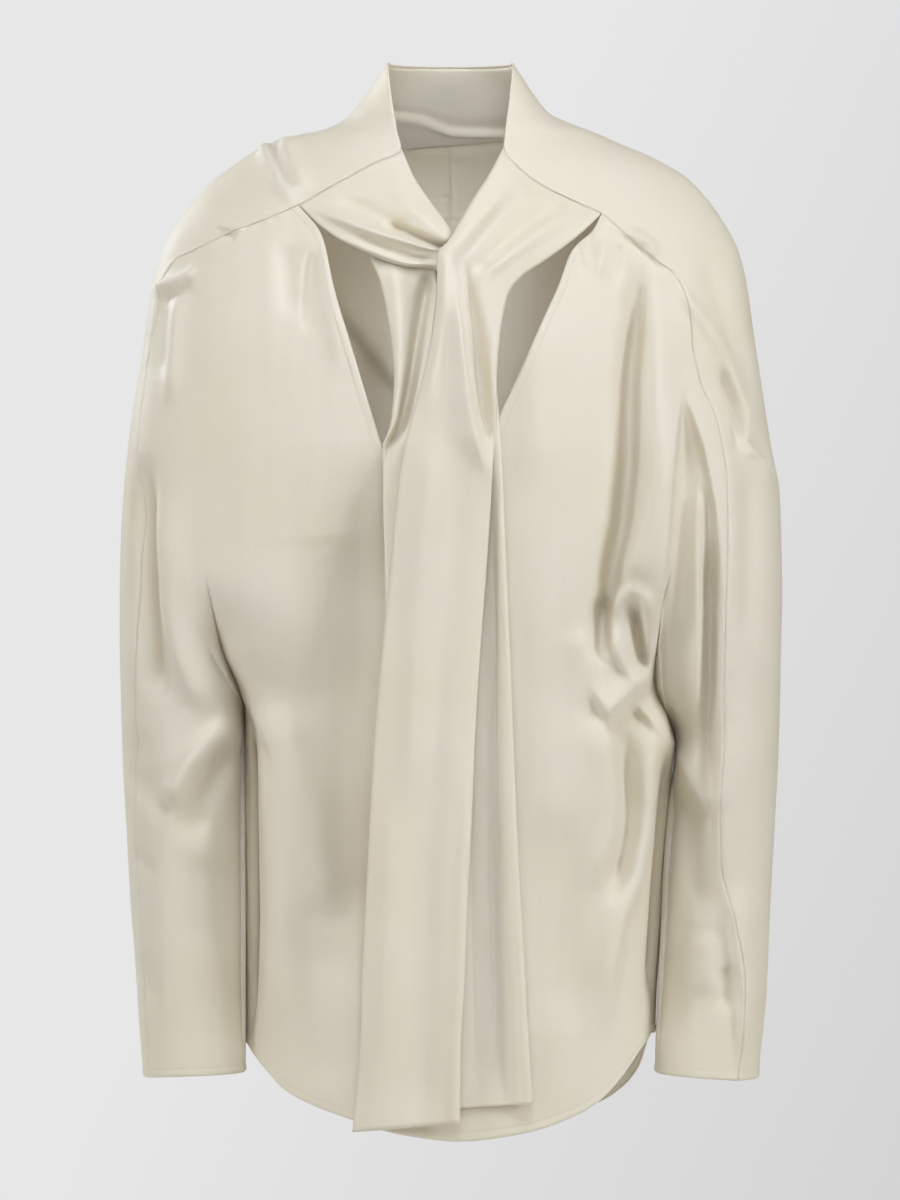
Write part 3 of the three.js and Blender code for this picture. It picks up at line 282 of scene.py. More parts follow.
# %% Folds of the skin
PHOTO_FOLDS = table("name photo_path near far high lean_x lean_z", [
    ("right sleeve trough", [(147, 450), (143, 520), (146, 600), (152, 663),
     (163, 704)], 9, 8, -19.2, 0, 0),
    ("right sleeve ridge", [(158, 470), (162, 540), (168, 610), (180, 660), (196, 695),
     (212, 716)], 7, 14, 8.8, 0, 0),
    ("right elbow trough", [(126, 722), (137, 768), (155, 802), (170, 815)], 8, 9, -8.8, 0, 0),
    ("right elbow ridge", [(238, 714), (217, 732), (187, 762), (171, 789), (161, 810)], 7, 11, 12.2, 0, 0),
    ("right elbow hollow", [(243, 740), (215, 772), (196, 806), (190, 846)], 12, 10, -12.2, 0, 0),
    ("right armhole crease", [(150, 380), (155, 430), (161, 480), (171, 517), (182, 553), (197, 597),
     (214, 653)], 14, 24, 2.8, 0, 0),
    ("right underarm edge", [(206, 640), (220, 664), (234, 686), (250, 708), (264, 735),
     (278, 768)], 2.6, 24, 10.5, -0.1, 0),
    ("right side ridge", [(250, 700), (281, 747), (304, 800), (312, 850), (320, 890),
     (333, 930)], 30, 20, 10.5, 0, 0),
    ("right trough by the tie", [(380, 440), (388, 540), (384, 620), (378, 700), (378, 780), (382, 860),
     (378, 930), (368, 1010)], 58, 12, -33.2, 0, 0),
    ("right panel edge", [(260, 728), (263, 770), (264, 830), (267, 880), (268, 940), (265, 1000),
     (259, 1060)], 3.4, 22, 10.5, 0, 0),
    ("right side gap", [(250, 706), (251, 740), (252, 780), (253, 850), (254, 920), (252, 990),
     (249, 1050)], 7, 3.4, -24.5, 0, 0),
    ("right side strip", [(260, 780), (267, 830), (275, 900), (284, 970)], 8, 12, 4.2, 0, 0),
    ("right low sweep", [(330, 930), (318, 980), (322, 1040), (330, 1100)], 20, 20, -5.6, 0, 0),
    ("right chest crease", [(314, 242), (309, 272), (307, 305), (308, 335)], 4, 7, -4.9, 0, 0),
    ("right chest pleat", [(284, 240), (286, 262), (289, 290), (292, 320)], 8, 8, -3.5, 0, 0),
    ("right chest drag", [(302, 226), (320, 262), (334, 320), (345, 380)], 8, 10, 3.5, 0, 0),
    ("right shoulder ridge", [(178, 288), (175, 320), (171, 365), (168, 410)], 5, 7, 5.6, 0, 0),
    ("right shoulder hollow", [(160, 290), (158, 330), (157, 380)], 6, 6, -4.2, 0, 0),
    ("right seam wrinkle", [(148, 290), (160, 282), (174, 279), (188, 272),
     (196, 262)], 3.4, 3.4, 5.6, 0, 0),
    ("right seam wrinkle below", [(152, 300), (166, 293), (182, 290), (194, 282)], 3.4, 3.4, -4.9, 0, 0),
    ("right seam pucker", [(214, 224), (226, 232), (236, 238)], 2.4, 2.4, -3.6, 0, 0),
    ("right seam pucker ridge", [(220, 220), (234, 227), (246, 226)], 2.5, 2.5, 2.2, 0, 0),
    ("right yoke fold", [(256, 128), (266, 150), (279, 180), (296, 208)], 3.6, 5, 5.6, 0, 0.25),
    ("right yoke hollow", [(268, 130), (278, 162), (292, 190)], 3.6, 3.6, -5.6, 0, 0),
    ("right yoke second fold", [(278, 126), (289, 162), (304, 192)], 3.6, 8, 4.9, 0, 0.1),
    ("right slanted wrinkle", [(125, 768), (135, 785), (146, 806)], 5, 4, -4.2, 0, 0),
    ("right lower wrinkle", [(130, 846), (142, 862), (155, 876)], 5, 4, -4.2, 0, 0),
    ("right cuff wrinkle", [(138, 950), (146, 980), (155, 1010)], 5, 6, -4.2, 0, 0),
    ("right forearm hollow", [(205, 850), (210, 900), (205, 960)], 18, 18, -4.2, 0, 0),
    ("right inner sleeve roll", [(239, 790), (239, 880), (238, 980), (239, 1060)], 3, 5, 2.2, 0, 0),
    ("left long trough", [(641, 252), (638, 290), (634, 340), (630, 380), (629, 460), (623, 523),
     (614, 560), (607, 607), (606, 638), (608, 664)], 10, 8, -26.2, 0, 0),
    ("left inner ridge", [(664, 285), (659, 380), (654, 480), (645, 523), (635, 563),
     (622, 588)], 8, 12, 10.5, 0, 0),
    ("left main ridge", [(688, 372), (679, 398), (674, 430), (670, 470), (667, 507), (662, 567), (658, 600),
     (656, 640), (659, 682), (668, 735), (686, 778), (710, 818)], 13, 3, 15.8, 0.1, 0),
    ("left sleeve recess", [(688, 415), (687, 450), (684, 500), (678, 560), (675, 620), (675, 680),
     (684, 735)], 4, 10, -4.2, 0, 0),
    ("left sleeve inner ridge", [(704, 462), (698, 503), (696, 530), (697, 613), (696, 690),
     (700, 745)], 6, 6, 8.8, 0, 0),
    ("left sleeve dark trough", [(712, 530), (712, 570), (713, 613), (713, 663), (713, 720), (713, 770),
     (711, 830)], 7, 3.2, -14, 0, 0),
    ("left sleeve outer fold", [(684, 385), (692, 410), (704, 450), (715, 505), (720, 560), (721, 660),
     (721, 760), (720, 860), (722, 925)], 3, 24, 12.2, 0, 0),
    ("left hook band", [(626, 585), (615, 600), (611, 622), (615, 645), (623, 664),
     (636, 676)], 3.6, 6, 10.5, 0, 0),
    ("left bowl", [(607, 590), (602, 615), (600, 640), (604, 664)], 9, 5, -10.5, 0, 0),
    ("left hook arch", [(610, 612), (618, 595), (632, 589), (644, 597), (652, 625)], 4, 4, 5.6, 0, 0),
    ("left pocket", [(632, 598), (636, 622), (640, 648), (645, 672)], 4.2, 3.4, -20, 0, 0),
    ("left lip", [(598, 716), (607, 711), (618, 703), (629, 693), (641, 681),
     (649, 667)], 4.5, 14, 15.8, 0, 0),
    ("left shade under the lip", [(606, 736), (620, 727), (632, 717), (642, 708)], 20, 5, -11.4, 0, 0),
    ("left bowl edge", [(590, 625), (591, 650), (596, 680), (602, 710)], 18, 3, 5.6, 0, 0),
    ("left lower ridge", [(602, 706), (611, 740), (614, 775), (617, 823), (610, 865),
     (600, 900)], 16, 5, 10.5, 0, 0),
    ("left lower trough", [(622, 722), (625, 760), (629, 807), (625, 838), (616, 870),
     (606, 905)], 8, 9, -17.5, 0, 0),
    ("left panel ridge", [(648, 700), (654, 752), (653, 790), (648, 837), (640, 883), (625, 917),
     (614, 967), (610, 1010), (604, 1050)], 14, 4, 12.2, 0, 0),
    ("left side gap", [(666, 735), (666, 800), (662, 850), (657, 900), (652, 960),
     (648, 1010)], 4, 7, -21, 0, 0),
    ("left low sweep", [(560, 800), (556, 880), (566, 960), (572, 1040)], 26, 22, -5.6, 0, 0),
    ("left elbow ridge", [(672, 738), (684, 766), (698, 792), (714, 818)], 3, 12, 8.8, 0, 0),
    ("left elbow hollow", [(684, 785), (692, 830), (698, 880), (708, 925)], 12, 10, -10.5, 0, 0),
    ("left forearm ridge", [(700, 930), (704, 960), (702, 1000)], 14, 14, 4.2, 0, 0),
    ("left forearm hollow", [(726, 965), (732, 985), (728, 1015)], 8, 6, -4.2, 0, 0),
    ("left cuff step", [(720, 880), (735, 917), (739, 957), (745, 997), (743, 1030),
     (740, 1080)], 3.4, 18, 8.8, 0, 0),
    ("left inner sleeve", [(676, 765), (670, 850), (663, 950), (658, 1072)], 4, 30, -15.8, 0, 0),
    ("right inner sleeve", [(243, 745), (242, 850), (241, 950), (241, 1072)], 26, 4, -12.2, 0, 0),
    ("left dark sleeve fold", [(719, 358), (727, 385), (735, 405), (738, 433),
     (739, 456)], 3, 4, -10.5, 0, 0),
    ("left sleeve fold edge", [(726, 352), (736, 378), (744, 405), (746, 436)], 4, 10, 5.6, -0.3, 0),
    ("left small ridge", [(740, 446), (750, 448), (762, 460), (774, 486)], 3, 3, 4.9, 0, 0),
    ("left small hollow", [(746, 438), (756, 444), (768, 456), (778, 478)], 3, 3, -4.2, 0, 0),
    ("left seam ridge", [(676, 283), (690, 302), (706, 322), (722, 345), (736, 362)], 5, 5, 4.9, 0, 0),
    ("left yoke bump", [(626, 232), (638, 232), (650, 240), (660, 256)], 4, 3, 4.9, 0, 0),
    ("left seam hollow", [(612, 226), (632, 242), (650, 258), (670, 275)], 2.5, 2.5, -3.5, 0, 0),
    ("left gather one", [(577, 240), (580, 256), (586, 276)], 3, 3, -2.8, 0, 0),
    ("left gather two", [(590, 228), (590, 244), (594, 262)], 3, 3, -2.8, 0, 0),
    ("left gather light", [(608, 230), (603, 250), (598, 280)], 4, 4, 3.5, 0, 0),
    ("left gather three", [(620, 240), (617, 258), (612, 290)], 4, 4, -2.8, 0, 0),
    ("left chest drag", [(560, 300), (548, 360), (540, 430), (536, 500)], 12, 14, 3.5, 0, 0),
    ("left forearm long fold", [(746, 463), (748, 520), (746, 590), (744, 660)], 8, 8, -4.2, 0, 0),
    ("left shoulder drag", [(700, 250), (722, 300), (742, 360), (756, 420)], 8, 8, -3.5, 0, 0),
])
FRONT_FOLDS = [dict(fold, path=[from_photo(p) for p in fold["photo_path"]]) for fold in PHOTO_FOLDS]
BACK_FOLDS = table("name path near far high lean_x lean_z", [
    ("right shoulder blade", [(-118, -120), (-140, -230), (-150, -330), (-146, -420)], 26, 12, -15.9, 0, 0),
    ("right blade ridge", [(-160, -140), (-172, -250), (-170, -340), (-160, -425)], 10, 14, 10.2, 0, 0),
    ("right back sleeve trough", [(-212, -230), (-216, -330), (-206, -400),
        (-192, -436)], 9, 9, -11.6, 0, 0),
    ("right back sleeve ridge", [(-196, -250), (-200, -340), (-188, -410), (-172, -436)], 7, 12, 8.7, 0, 0),
    ("right back elbow", [(-160, -470), (-186, -505), (-212, -530)], 10, 12, -7.25, 0, 0),
    ("right back elbow ridge", [(-160, -492), (-184, -528), (-206, -552)], 9, 12, 7.25, 0, 0),
    ("right back sweep", [(-30, -60), (-44, -200), (-64, -380), (-58, -560),
        (-66, -720)], 26, 22, -10.2, 0, 0),
    ("right side fold", [(-140, -440), (-116, -540), (-108, -640), (-116, -700)], 18, 14, 10.2, 0, 0),
    ("right side hollow", [(-124, -470), (-96, -560), (-88, -690)], 14, 18, -8.7, 0, 0),
    ("right yoke fold", [(-141, -14), (-131, -30), (-122, -48)], 4, 4, 4, 0, 0),
    ("right shoulder wrinkle", [(-96, -30), (-128, -52), (-166, -84)], 8, 8, -3, 0, 0),
    ("left shoulder blade", [(120, -110), (138, -210), (146, -330), (140, -430)], 12, 26, -17.4, 0, 0),
    ("left blade ridge", [(158, -150), (166, -250), (162, -340), (156, -440)], 12, 10, 11.6, 0, 0),
    ("left back sleeve trough", [(208, -210), (214, -320), (206, -410), (194, -470)], 9, 9, -11.6, 0, 0),
    ("left back sleeve ridge", [(190, -240), (196, -330), (188, -410), (180, -460)], 12, 7, 8.7, 0, 0),
    ("left back elbow", [(172, -500), (192, -530), (214, -548)], 12, 10, -7.25, 0, 0),
    ("left back elbow ridge", [(172, -524), (190, -552), (208, -574)], 12, 9, 7.25, 0, 0),
    ("left back sweep", [(36, -70), (52, -240), (70, -420), (60, -570), (72, -725)], 22, 26, -10.2, 0, 0),
    ("left side fold", [(146, -460), (118, -560), (112, -650), (118, -700)], 14, 18, 10.2, 0, 0),
    ("left side hollow", [(128, -490), (98, -580), (92, -690)], 18, 14, -8.7, 0, 0),
    ("left shoulder wrinkle", [(92, -34), (126, -56), (170, -88)], 8, 8, -3, 0, 0),
    ("inside drag", [(-98, -108), (-84, -128), (-62, -156), (-43, -182), (-28, -206)], 6, 16, -7, 0, 0),
    ("right blade drag", [(-40, -150), (-78, -190), (-122, -226), (-160, -250)], 10, 16, 5, 0, 0),
    ("right waist drag", [(-36, -400), (-70, -440), (-110, -462), (-146, -470)], 12, 12, -5, 0, 0),
    ("left blade drag", [(44, -170), (84, -216), (128, -262), (162, -300)], 16, 10, 6, 0, 0),
    ("left waist drag", [(30, -430), (72, -462), (112, -478), (148, -486)], 12, 12, -5, 0, 0),
    ("middle drape", [(2, -120), (-6, -300), (6, -480), (-2, -700)], 20, 20, 4.8, 0, 0),
    ("collar roll", [(-52, -4), (-20, -14), (20, -15), (52, -6)], 9, 7, -2.5, 0, 0),
])

print(len(FRONT_FOLDS), "front folds and", len(BACK_FOLDS), "back folds")


# %% The height of a fold and of the small ripples
FRONT_RIPPLE, BACK_RIPPLE = 7, 11
RIPPLE_SHARE = 0.0024


def fold_height(fold, x, z):
    best = np.full(x.shape, np.inf)
    where = np.zeros(x.shape)
    across = np.zeros(x.shape)
    pieces = len(fold["path"]) - 1
    for i in range(pieces):
        (x0, z0), (x1, z1) = fold["path"][i], fold["path"][i + 1]
        dx, dz = x1 - x0, z1 - z0
        t = np.clip(((x - x0) * dx + (z - z0) * dz) / (dx * dx + dz * dz), 0, 1)
        gap = np.hypot(x - x0 - t * dx, z - z0 - t * dz)
        closer = gap < best
        best = np.where(closer, gap, best)
        where = np.where(closer, (i + t) / pieces, where)
        across = np.where(closer, ((x - x0) * dz - (z - z0) * dx) / math.hypot(dx, dz), across)
    blend = smooth(across, -1.5, 1.5)
    reach = mix(fold["far"], fold["near"], blend)
    fade = smooth(where, -0.01, 0.25) * (1 - smooth(where, 0.75, 1.01))
    return fold["high"] * fade * np.exp(-((best / reach) ** 2))


def ripple(x, z, seed):
    draw = np.random.default_rng(seed)
    total = np.zeros(np.shape(x))
    for wide in (95, 60, 38, 24, 15):
        for _ in range(3):
            turn = draw.uniform(-0.5, 0.5)
            phase = draw.uniform(0, 2 * np.pi)
            along = x * math.cos(turn) + z * math.sin(turn) * 0.35
            sway = 0.4 * np.sin(z / 60 + phase)
            total += wide * RIPPLE_SHARE * np.sin(along * 2 * np.pi / wide + phase + sway)
    return total


print("ripples up to", round(95 * RIPPLE_SHARE, 2), "mm each")


# %% Raising the folds from the skin
def outward(x, z, face, side, lobe=None):
    outer = hull[side](z)
    near_edge = np.clip(np.abs(x) / outer, 0, 1) ** 10
    slope = np.clip((hull[side](z - 4) - hull[side](z + 4)) / 8, 0, 3)
    way = np.stack([SIGN[side] * near_edge, face * (1.02 - near_edge), near_edge * slope], -1)
    way = way / np.linalg.norm(way, axis=-1, keepdims=True)
    if lobe is not None:
        u = np.clip(lobe, -1, 1)
        end = np.abs(u) ** 40
        part = np.stack([SIGN[side] * np.sign(u) * end, face * (1.02 - end), 0 * u], -1)
        part = part / np.linalg.norm(part, axis=-1, keepdims=True)
        way = mix(way, part, smooth(UNDERARM[side] - z, 0, 45)[..., None])
    return way


def add_folds(points, face, side, lobe=None):
    x, z = points[..., 0].copy(), points[..., 2].copy()
    face = np.broadcast_to(np.asarray(face, float), x.shape)
    way = outward(x, z, face, side, lobe)
    out = points.copy()
    for sign, folds, seed in ((-1, FRONT_FOLDS, FRONT_RIPPLE), (1, BACK_FOLDS, BACK_RIPPLE)):
        here = face == sign
        if not here.any():
            continue
        calm = 1 - smooth(np.abs(x), hull[side](z) - 9, hull[side](z) + 0.5)
        if lobe is not None:
            below = smooth(UNDERARM[side] - z, 0, 30)
            calm = np.minimum(calm + below, 1 - smooth(np.abs(lobe), 0.965, 1.0))
        for fold in folds:
            height = fold_height(fold, x, z) * calm * here
            out += way * height[..., None]
            out[..., 0] += fold["lean_x"] * np.abs(height)
            out[..., 2] += fold["lean_z"] * np.abs(height)
        out += way * (ripple(x, z, seed) * calm * here)[..., None]
    return out


print("highest fold", max(abs(fold["high"]) for fold in FRONT_FOLDS + BACK_FOLDS), "mm")

# %% [markdown]
# A grid of rows and columns is the easiest sheet to shape, because every point knows its place on the
# cloth. The back pieces run from the front seam round the arm to the centre back. The front runs from
# the overarm seam to the V. Below the underarm each piece is slit between its sleeve part and its body
# part.

# %% Places on the seams
seam_x = {side: curve(SEAM[side], "level", "x") for side in SIGN}
seam_z = {side: curve(SEAM[side], "level", "z") for side in SIGN}
back_line = {
    side: curve(table("level x", list(enumerate(BACK_ARMLINE[side]))), "level", "x") for side in SIGN
}


def seam_place(side, level):
    level = np.asarray(level, float)
    low_z = mix(seam_z[side](LAST), UNDERARM[side], np.clip((level - LAST) / (SPLIT - LAST), 0, 1))
    z = np.where(level <= LAST, seam_z[side](level), low_z)
    return np.where(level <= LAST, seam_x[side](level), overarm[side](low_z)), z


def centre_z(level):
    middle = (seam_place("right", level)[1] + seam_place("left", level)[1]) / 2
    return np.where(np.asarray(level) >= SPLIT, CENTRE_SPLIT, middle)


def seam_angle(side, z):
    outer = hull[side](z)
    half = (outer - inner_edge[side](z)) / 2
    return -np.arccos(np.clip((overarm[side](z) - outer + half) / half, -1, 1))


def sleeve_ring(side, z, angle):
    outer = hull[side](z)
    half = (outer - inner_edge[side](z)) / 2
    reach = outer - half + half * np.cos(angle)
    y = sleeve_middle(z) + np.sign(angle) * sleeve_deep(z) * arch(np.cos(angle), SLEEVE_POWER)
    return np.stack([SIGN[side] * reach, y, z + 0 * reach], -1)


print("seams meet in the middle at", CENTRE_SPLIT, "mm")

# %% [markdown]
# Sewing shows at the edges. A seam sinks where it is pulled together, stands up beside it where the
# allowance lies under the cloth, and puckers a little. A turned edge is a band of two layers with a
# rounded fold. Rows are set closer together near such an edge, so the mesh can carry a relief only a
# millimetre wide.

# %% Relief of seams and turned edges
SEAM_LINES = (0.0, 0.7, 1.5, 2.6, 4.2, 6.2, 7.2, 8.4, 10.5)
EDGE_LINES = (0.0, 0.45, 1.1, 2.2, 4.0, 5.6, 6.3, 7.2, 9.0)
SEAM_DEPTH = {"right": 0.35, "left": 0.8}


def places(count, length, first=(), last=()):
    start = [d / length for d in first]
    finish = [1 - d / length for d in last][::-1]
    low = start[-1] if start else 0.0
    high = finish[0] if finish else 1.0
    middle = np.linspace(low, high, count + 1)
    inner = middle[1 if start else 0 : -1 if finish else None]
    return np.array(start + list(inner) + finish)


def lengths_from(grid, axis, end):
    steps = np.linalg.norm(np.diff(grid, axis=axis), axis=-1)
    total = np.cumsum(steps, axis=axis)
    zero = np.zeros_like(np.take(total, [0], axis=axis))
    total = np.concatenate([zero, total], axis=axis)
    return total if end == "first" else np.take(total, [-1], axis=axis) - total


def seam_relief(d, along, seed, allowance=0.45):
    draw = np.random.default_rng(seed)
    wave = np.zeros(np.shape(along))
    for wide in (31, 17, 11):
        wave += np.sin(along * 2 * np.pi / wide + draw.uniform(0, 6) + 0.8 * np.sin(along / 37))
    groove = -0.5 * np.exp(-((d / 1.1) ** 2))
    stand = allowance * smooth(d, 0.8, 2.0) * (1 - smooth(d, 6.2, 7.6))
    pucker = 0.42 * wave * np.exp(-d / 7) * smooth(d, 0.0, 1.5)
    return groove + stand + pucker


def edge_relief(d):
    band = 0.45 * (1 - smooth(d, 5.4, 6.6))
    stitched = -0.3 * np.exp(-(((d - 5.9) / 0.5) ** 2))
    fold = -1.1 * np.exp(-((d / 0.6) ** 2))
    return band + stitched + fold


print("closest rows at an edge", EDGE_LINES[1], "mm apart")

# %% [markdown]
# Each back piece starts at the front seam, goes round the outside of the arm and ends at the centre
# back. On the real blouse it looks like one cloth from collar to hem, because no seam shows between
# collar and yoke. Its upper part is one grid, and below the underarm two grids hang from it: the back of
# the sleeve and the back of the body.

# %% The upper grid of a back piece
BACK_SLEEVE, BACK_BODY = 10, 8
CUFF = {"right": (-708, -704), "left": (-710, -704)}


def back_upper(side, levels, columns):
    level, column = np.meshgrid(levels, columns, indexing="ij")
    sx, sz = seam_place(side, level)
    share = mix(
        smooth(column / (BACK_SLEEVE + BACK_BODY), 0.3, 1),
        smooth((column - BACK_SLEEVE) / BACK_BODY, 0, 1),
        smooth(level, SPLIT - 4, SPLIT),
    )
    z = mix(sz, centre_z(level), share)
    low = armline[side](z)
    high = back_line[side](level)
    line = np.where(level < LAST, high, mix(BACK_ARMLINE[side][-1], low, smooth(level, LAST, LAST + 3)))
    outer = hull[side](z)
    part = parted(z, side)
    middle = mix(line, (outer + line) / 2, part)
    half = outer - middle
    begin = -np.arccos(np.clip((sx - middle) / half, -1, 1))
    end = np.arccos(np.clip((line - middle) / half, -1, 1))
    angle = mix(begin, end, np.clip(column / BACK_SLEEVE, 0, 1))
    t = np.clip((column - BACK_SLEEVE) / BACK_BODY, 0, 1)
    on_sleeve = column <= BACK_SLEEVE
    on_back = line * mix(1 - t, np.cos(t * np.pi / 2), part)
    reach = np.where(on_sleeve, middle + half * np.cos(angle), on_back)
    face = np.where(on_sleeve & (angle < 0), -1, 1)
    x = SIGN[side] * reach
    return np.stack([x, skin_y(x, z, face, side), z], -1), face


print("back columns", BACK_SLEEVE, "on the sleeve and", BACK_BODY, "on the body")


# %% Sleeves and body below the underarm
def hanging_sleeve(side, face, shares, rows):
    t, share = np.meshgrid(rows, shares, indexing="ij")
    cuff = mix(*CUFF[side], share)
    z = mix(UNDERARM[side], cuff, t)
    angle = mix(seam_angle(side, z), face * np.pi, share)
    return sleeve_ring(side, z, angle), np.cos(angle), np.where(angle < 0, -1, 1)


def hanging_body(side, face, shares, rows):
    t, share = np.meshgrid(rows, shares, indexing="ij")
    turn = share * np.pi / 2
    hem = front_hem if face < 0 else back_hem
    low = hem(SIGN[side] * body_side[side](-700) * np.cos(turn))
    low = np.where(share == 0, SIDE_HEM[side], low)
    z = mix(mix(UNDERARM[side], CENTRE_SPLIT, smooth(share, 0, 1)), low, t)
    x = SIGN[side] * body_side[side](z) * np.cos(turn)
    edge = hull["side"](z)
    full = hull["front"](z) if face < 0 else hull["back"](z)
    y = edge + (full - edge) * arch(x / body_side[side](z), BODY_POWER)
    return np.stack([x, y, z], -1), np.cos(turn)


def raise_by(grid, heights, face, side, lobe=None):
    way = outward(grid[..., 0], grid[..., 2], face, side, lobe)
    return grid + way * heights[..., None]


print("cuffs at", CUFF["right"], "and", CUFF["left"], "mm")


# %% The three grids of a back piece
def back_grids(side):
    levels = np.concatenate([[0, 0.05, 0.1, 0.2, 0.34, 0.5, 0.56, 0.65], np.linspace(0.8, SPLIT, 172)])
    near_seam = [0, 0.05, 0.1, 0.18, 0.28, 0.41, 0.48, 0.56, 0.7]
    near_middle = [BACK_SLEEVE + BACK_BODY - d for d in (0.7, 0.56, 0.48, 0.41, 0.28, 0.18, 0.1, 0.05, 0)]
    on_sleeve = np.concatenate([near_seam, np.linspace(0.9, BACK_SLEEVE, 52)])
    on_body = np.concatenate([np.linspace(BACK_SLEEVE, BACK_SLEEVE + BACK_BODY - 0.9, 38), near_middle])
    columns = np.concatenate([on_sleeve, on_body[1:]])
    rows = places(56, 255, last=EDGE_LINES)
    upper, face = back_upper(side, levels, columns)
    arm, arm_lobe, arm_face = hanging_sleeve(side, 1, on_sleeve / BACK_SLEEVE, rows)
    body, body_lobe = hanging_body(side, 1, (on_body - BACK_SLEEVE) / BACK_BODY, rows)
    split = len(on_sleeve) - 1
    from_seam, along_seam = lengths_from(upper, 1, "first"), lengths_from(upper, 0, "first")
    from_middle, from_top = lengths_from(upper, 1, "last"), lengths_from(upper, 0, "first")
    arm_seam, arm_cuff = lengths_from(arm, 1, "first"), lengths_from(arm, 0, "last")
    body_middle, body_hem = lengths_from(body, 1, "last"), lengths_from(body, 0, "last")
    along = along_seam[:, :1] + 0 * from_seam
    down = along[-1, 0]
    free = levels[:, None]
    depth = mix(1.0, SEAM_DEPTH[side], smooth(free, LAST - 1, LAST + 3))
    at_seam = np.where(free < NECK, edge_relief(from_seam), seam_relief(from_seam, along, 3) * depth)
    upper = add_folds(upper, face, side)
    upper = raise_by(upper, at_seam, face, side)
    upper = raise_by(upper, seam_relief(from_middle, along, 5, 0.3) + edge_relief(from_top), face, side)
    arm = add_folds(arm, arm_face, side, arm_lobe)
    low_seam = seam_relief(arm_seam, down + lengths_from(arm, 0, "first"), 3) * SEAM_DEPTH[side]
    arm = raise_by(arm, low_seam, arm_face, side, arm_lobe)
    arm = raise_by(arm, edge_relief(arm_cuff), arm_face, side, arm_lobe)
    body = add_folds(body, 1, side, body_lobe)
    middle_seam = seam_relief(body_middle, down + lengths_from(body, 0, "first"), 5, 0.3)
    body = raise_by(body, middle_seam, 1, side, body_lobe)
    body = raise_by(body, edge_relief(body_hem), 1, side, body_lobe)
    arm[0], body[0] = upper[-1, : split + 1], upper[-1, split:]
    return upper, arm, body


print("a seam stands", seam_relief(np.array(4.0), 0.0, 3).round(2), "mm high 4 mm from its groove")

# %% [markdown]
# The front is bounded by the overarm seam, the shoulder seam, the V and the underarm. A patch that is
# mixed from its four edge lines fills such a shape without any drawing by hand, and its rows stay
# parallel to the seams. The arm line between sleeve and chest is a column that both patches share.

# %% Filling a patch between four lines
V_SHARE = 12 / 16
FRONT_ROWS = places(94, 345, first=SEAM_LINES)


def along_line(points, t):
    points = np.asarray(points, float)
    place = np.asarray(t) * (len(points) - 1)
    rows = [{"i": i, "x": p[0], "z": p[1]} for i, p in enumerate(points)]
    return np.stack([curve(rows, "i", "x")(place), curve(rows, "i", "z")(place)], -1)


def patch(top, bottom, start, end, s, t):
    s, late = s[None, :, None], t[:, None, None] ** 3
    corners = mix(mix(top[0], top[-1], s), mix(bottom[0], bottom[-1], s), late)
    return mix(top[None], bottom[None], late) + mix(start[:, None], end[:, None], s) - corners


print("front rows", len(FRONT_ROWS))


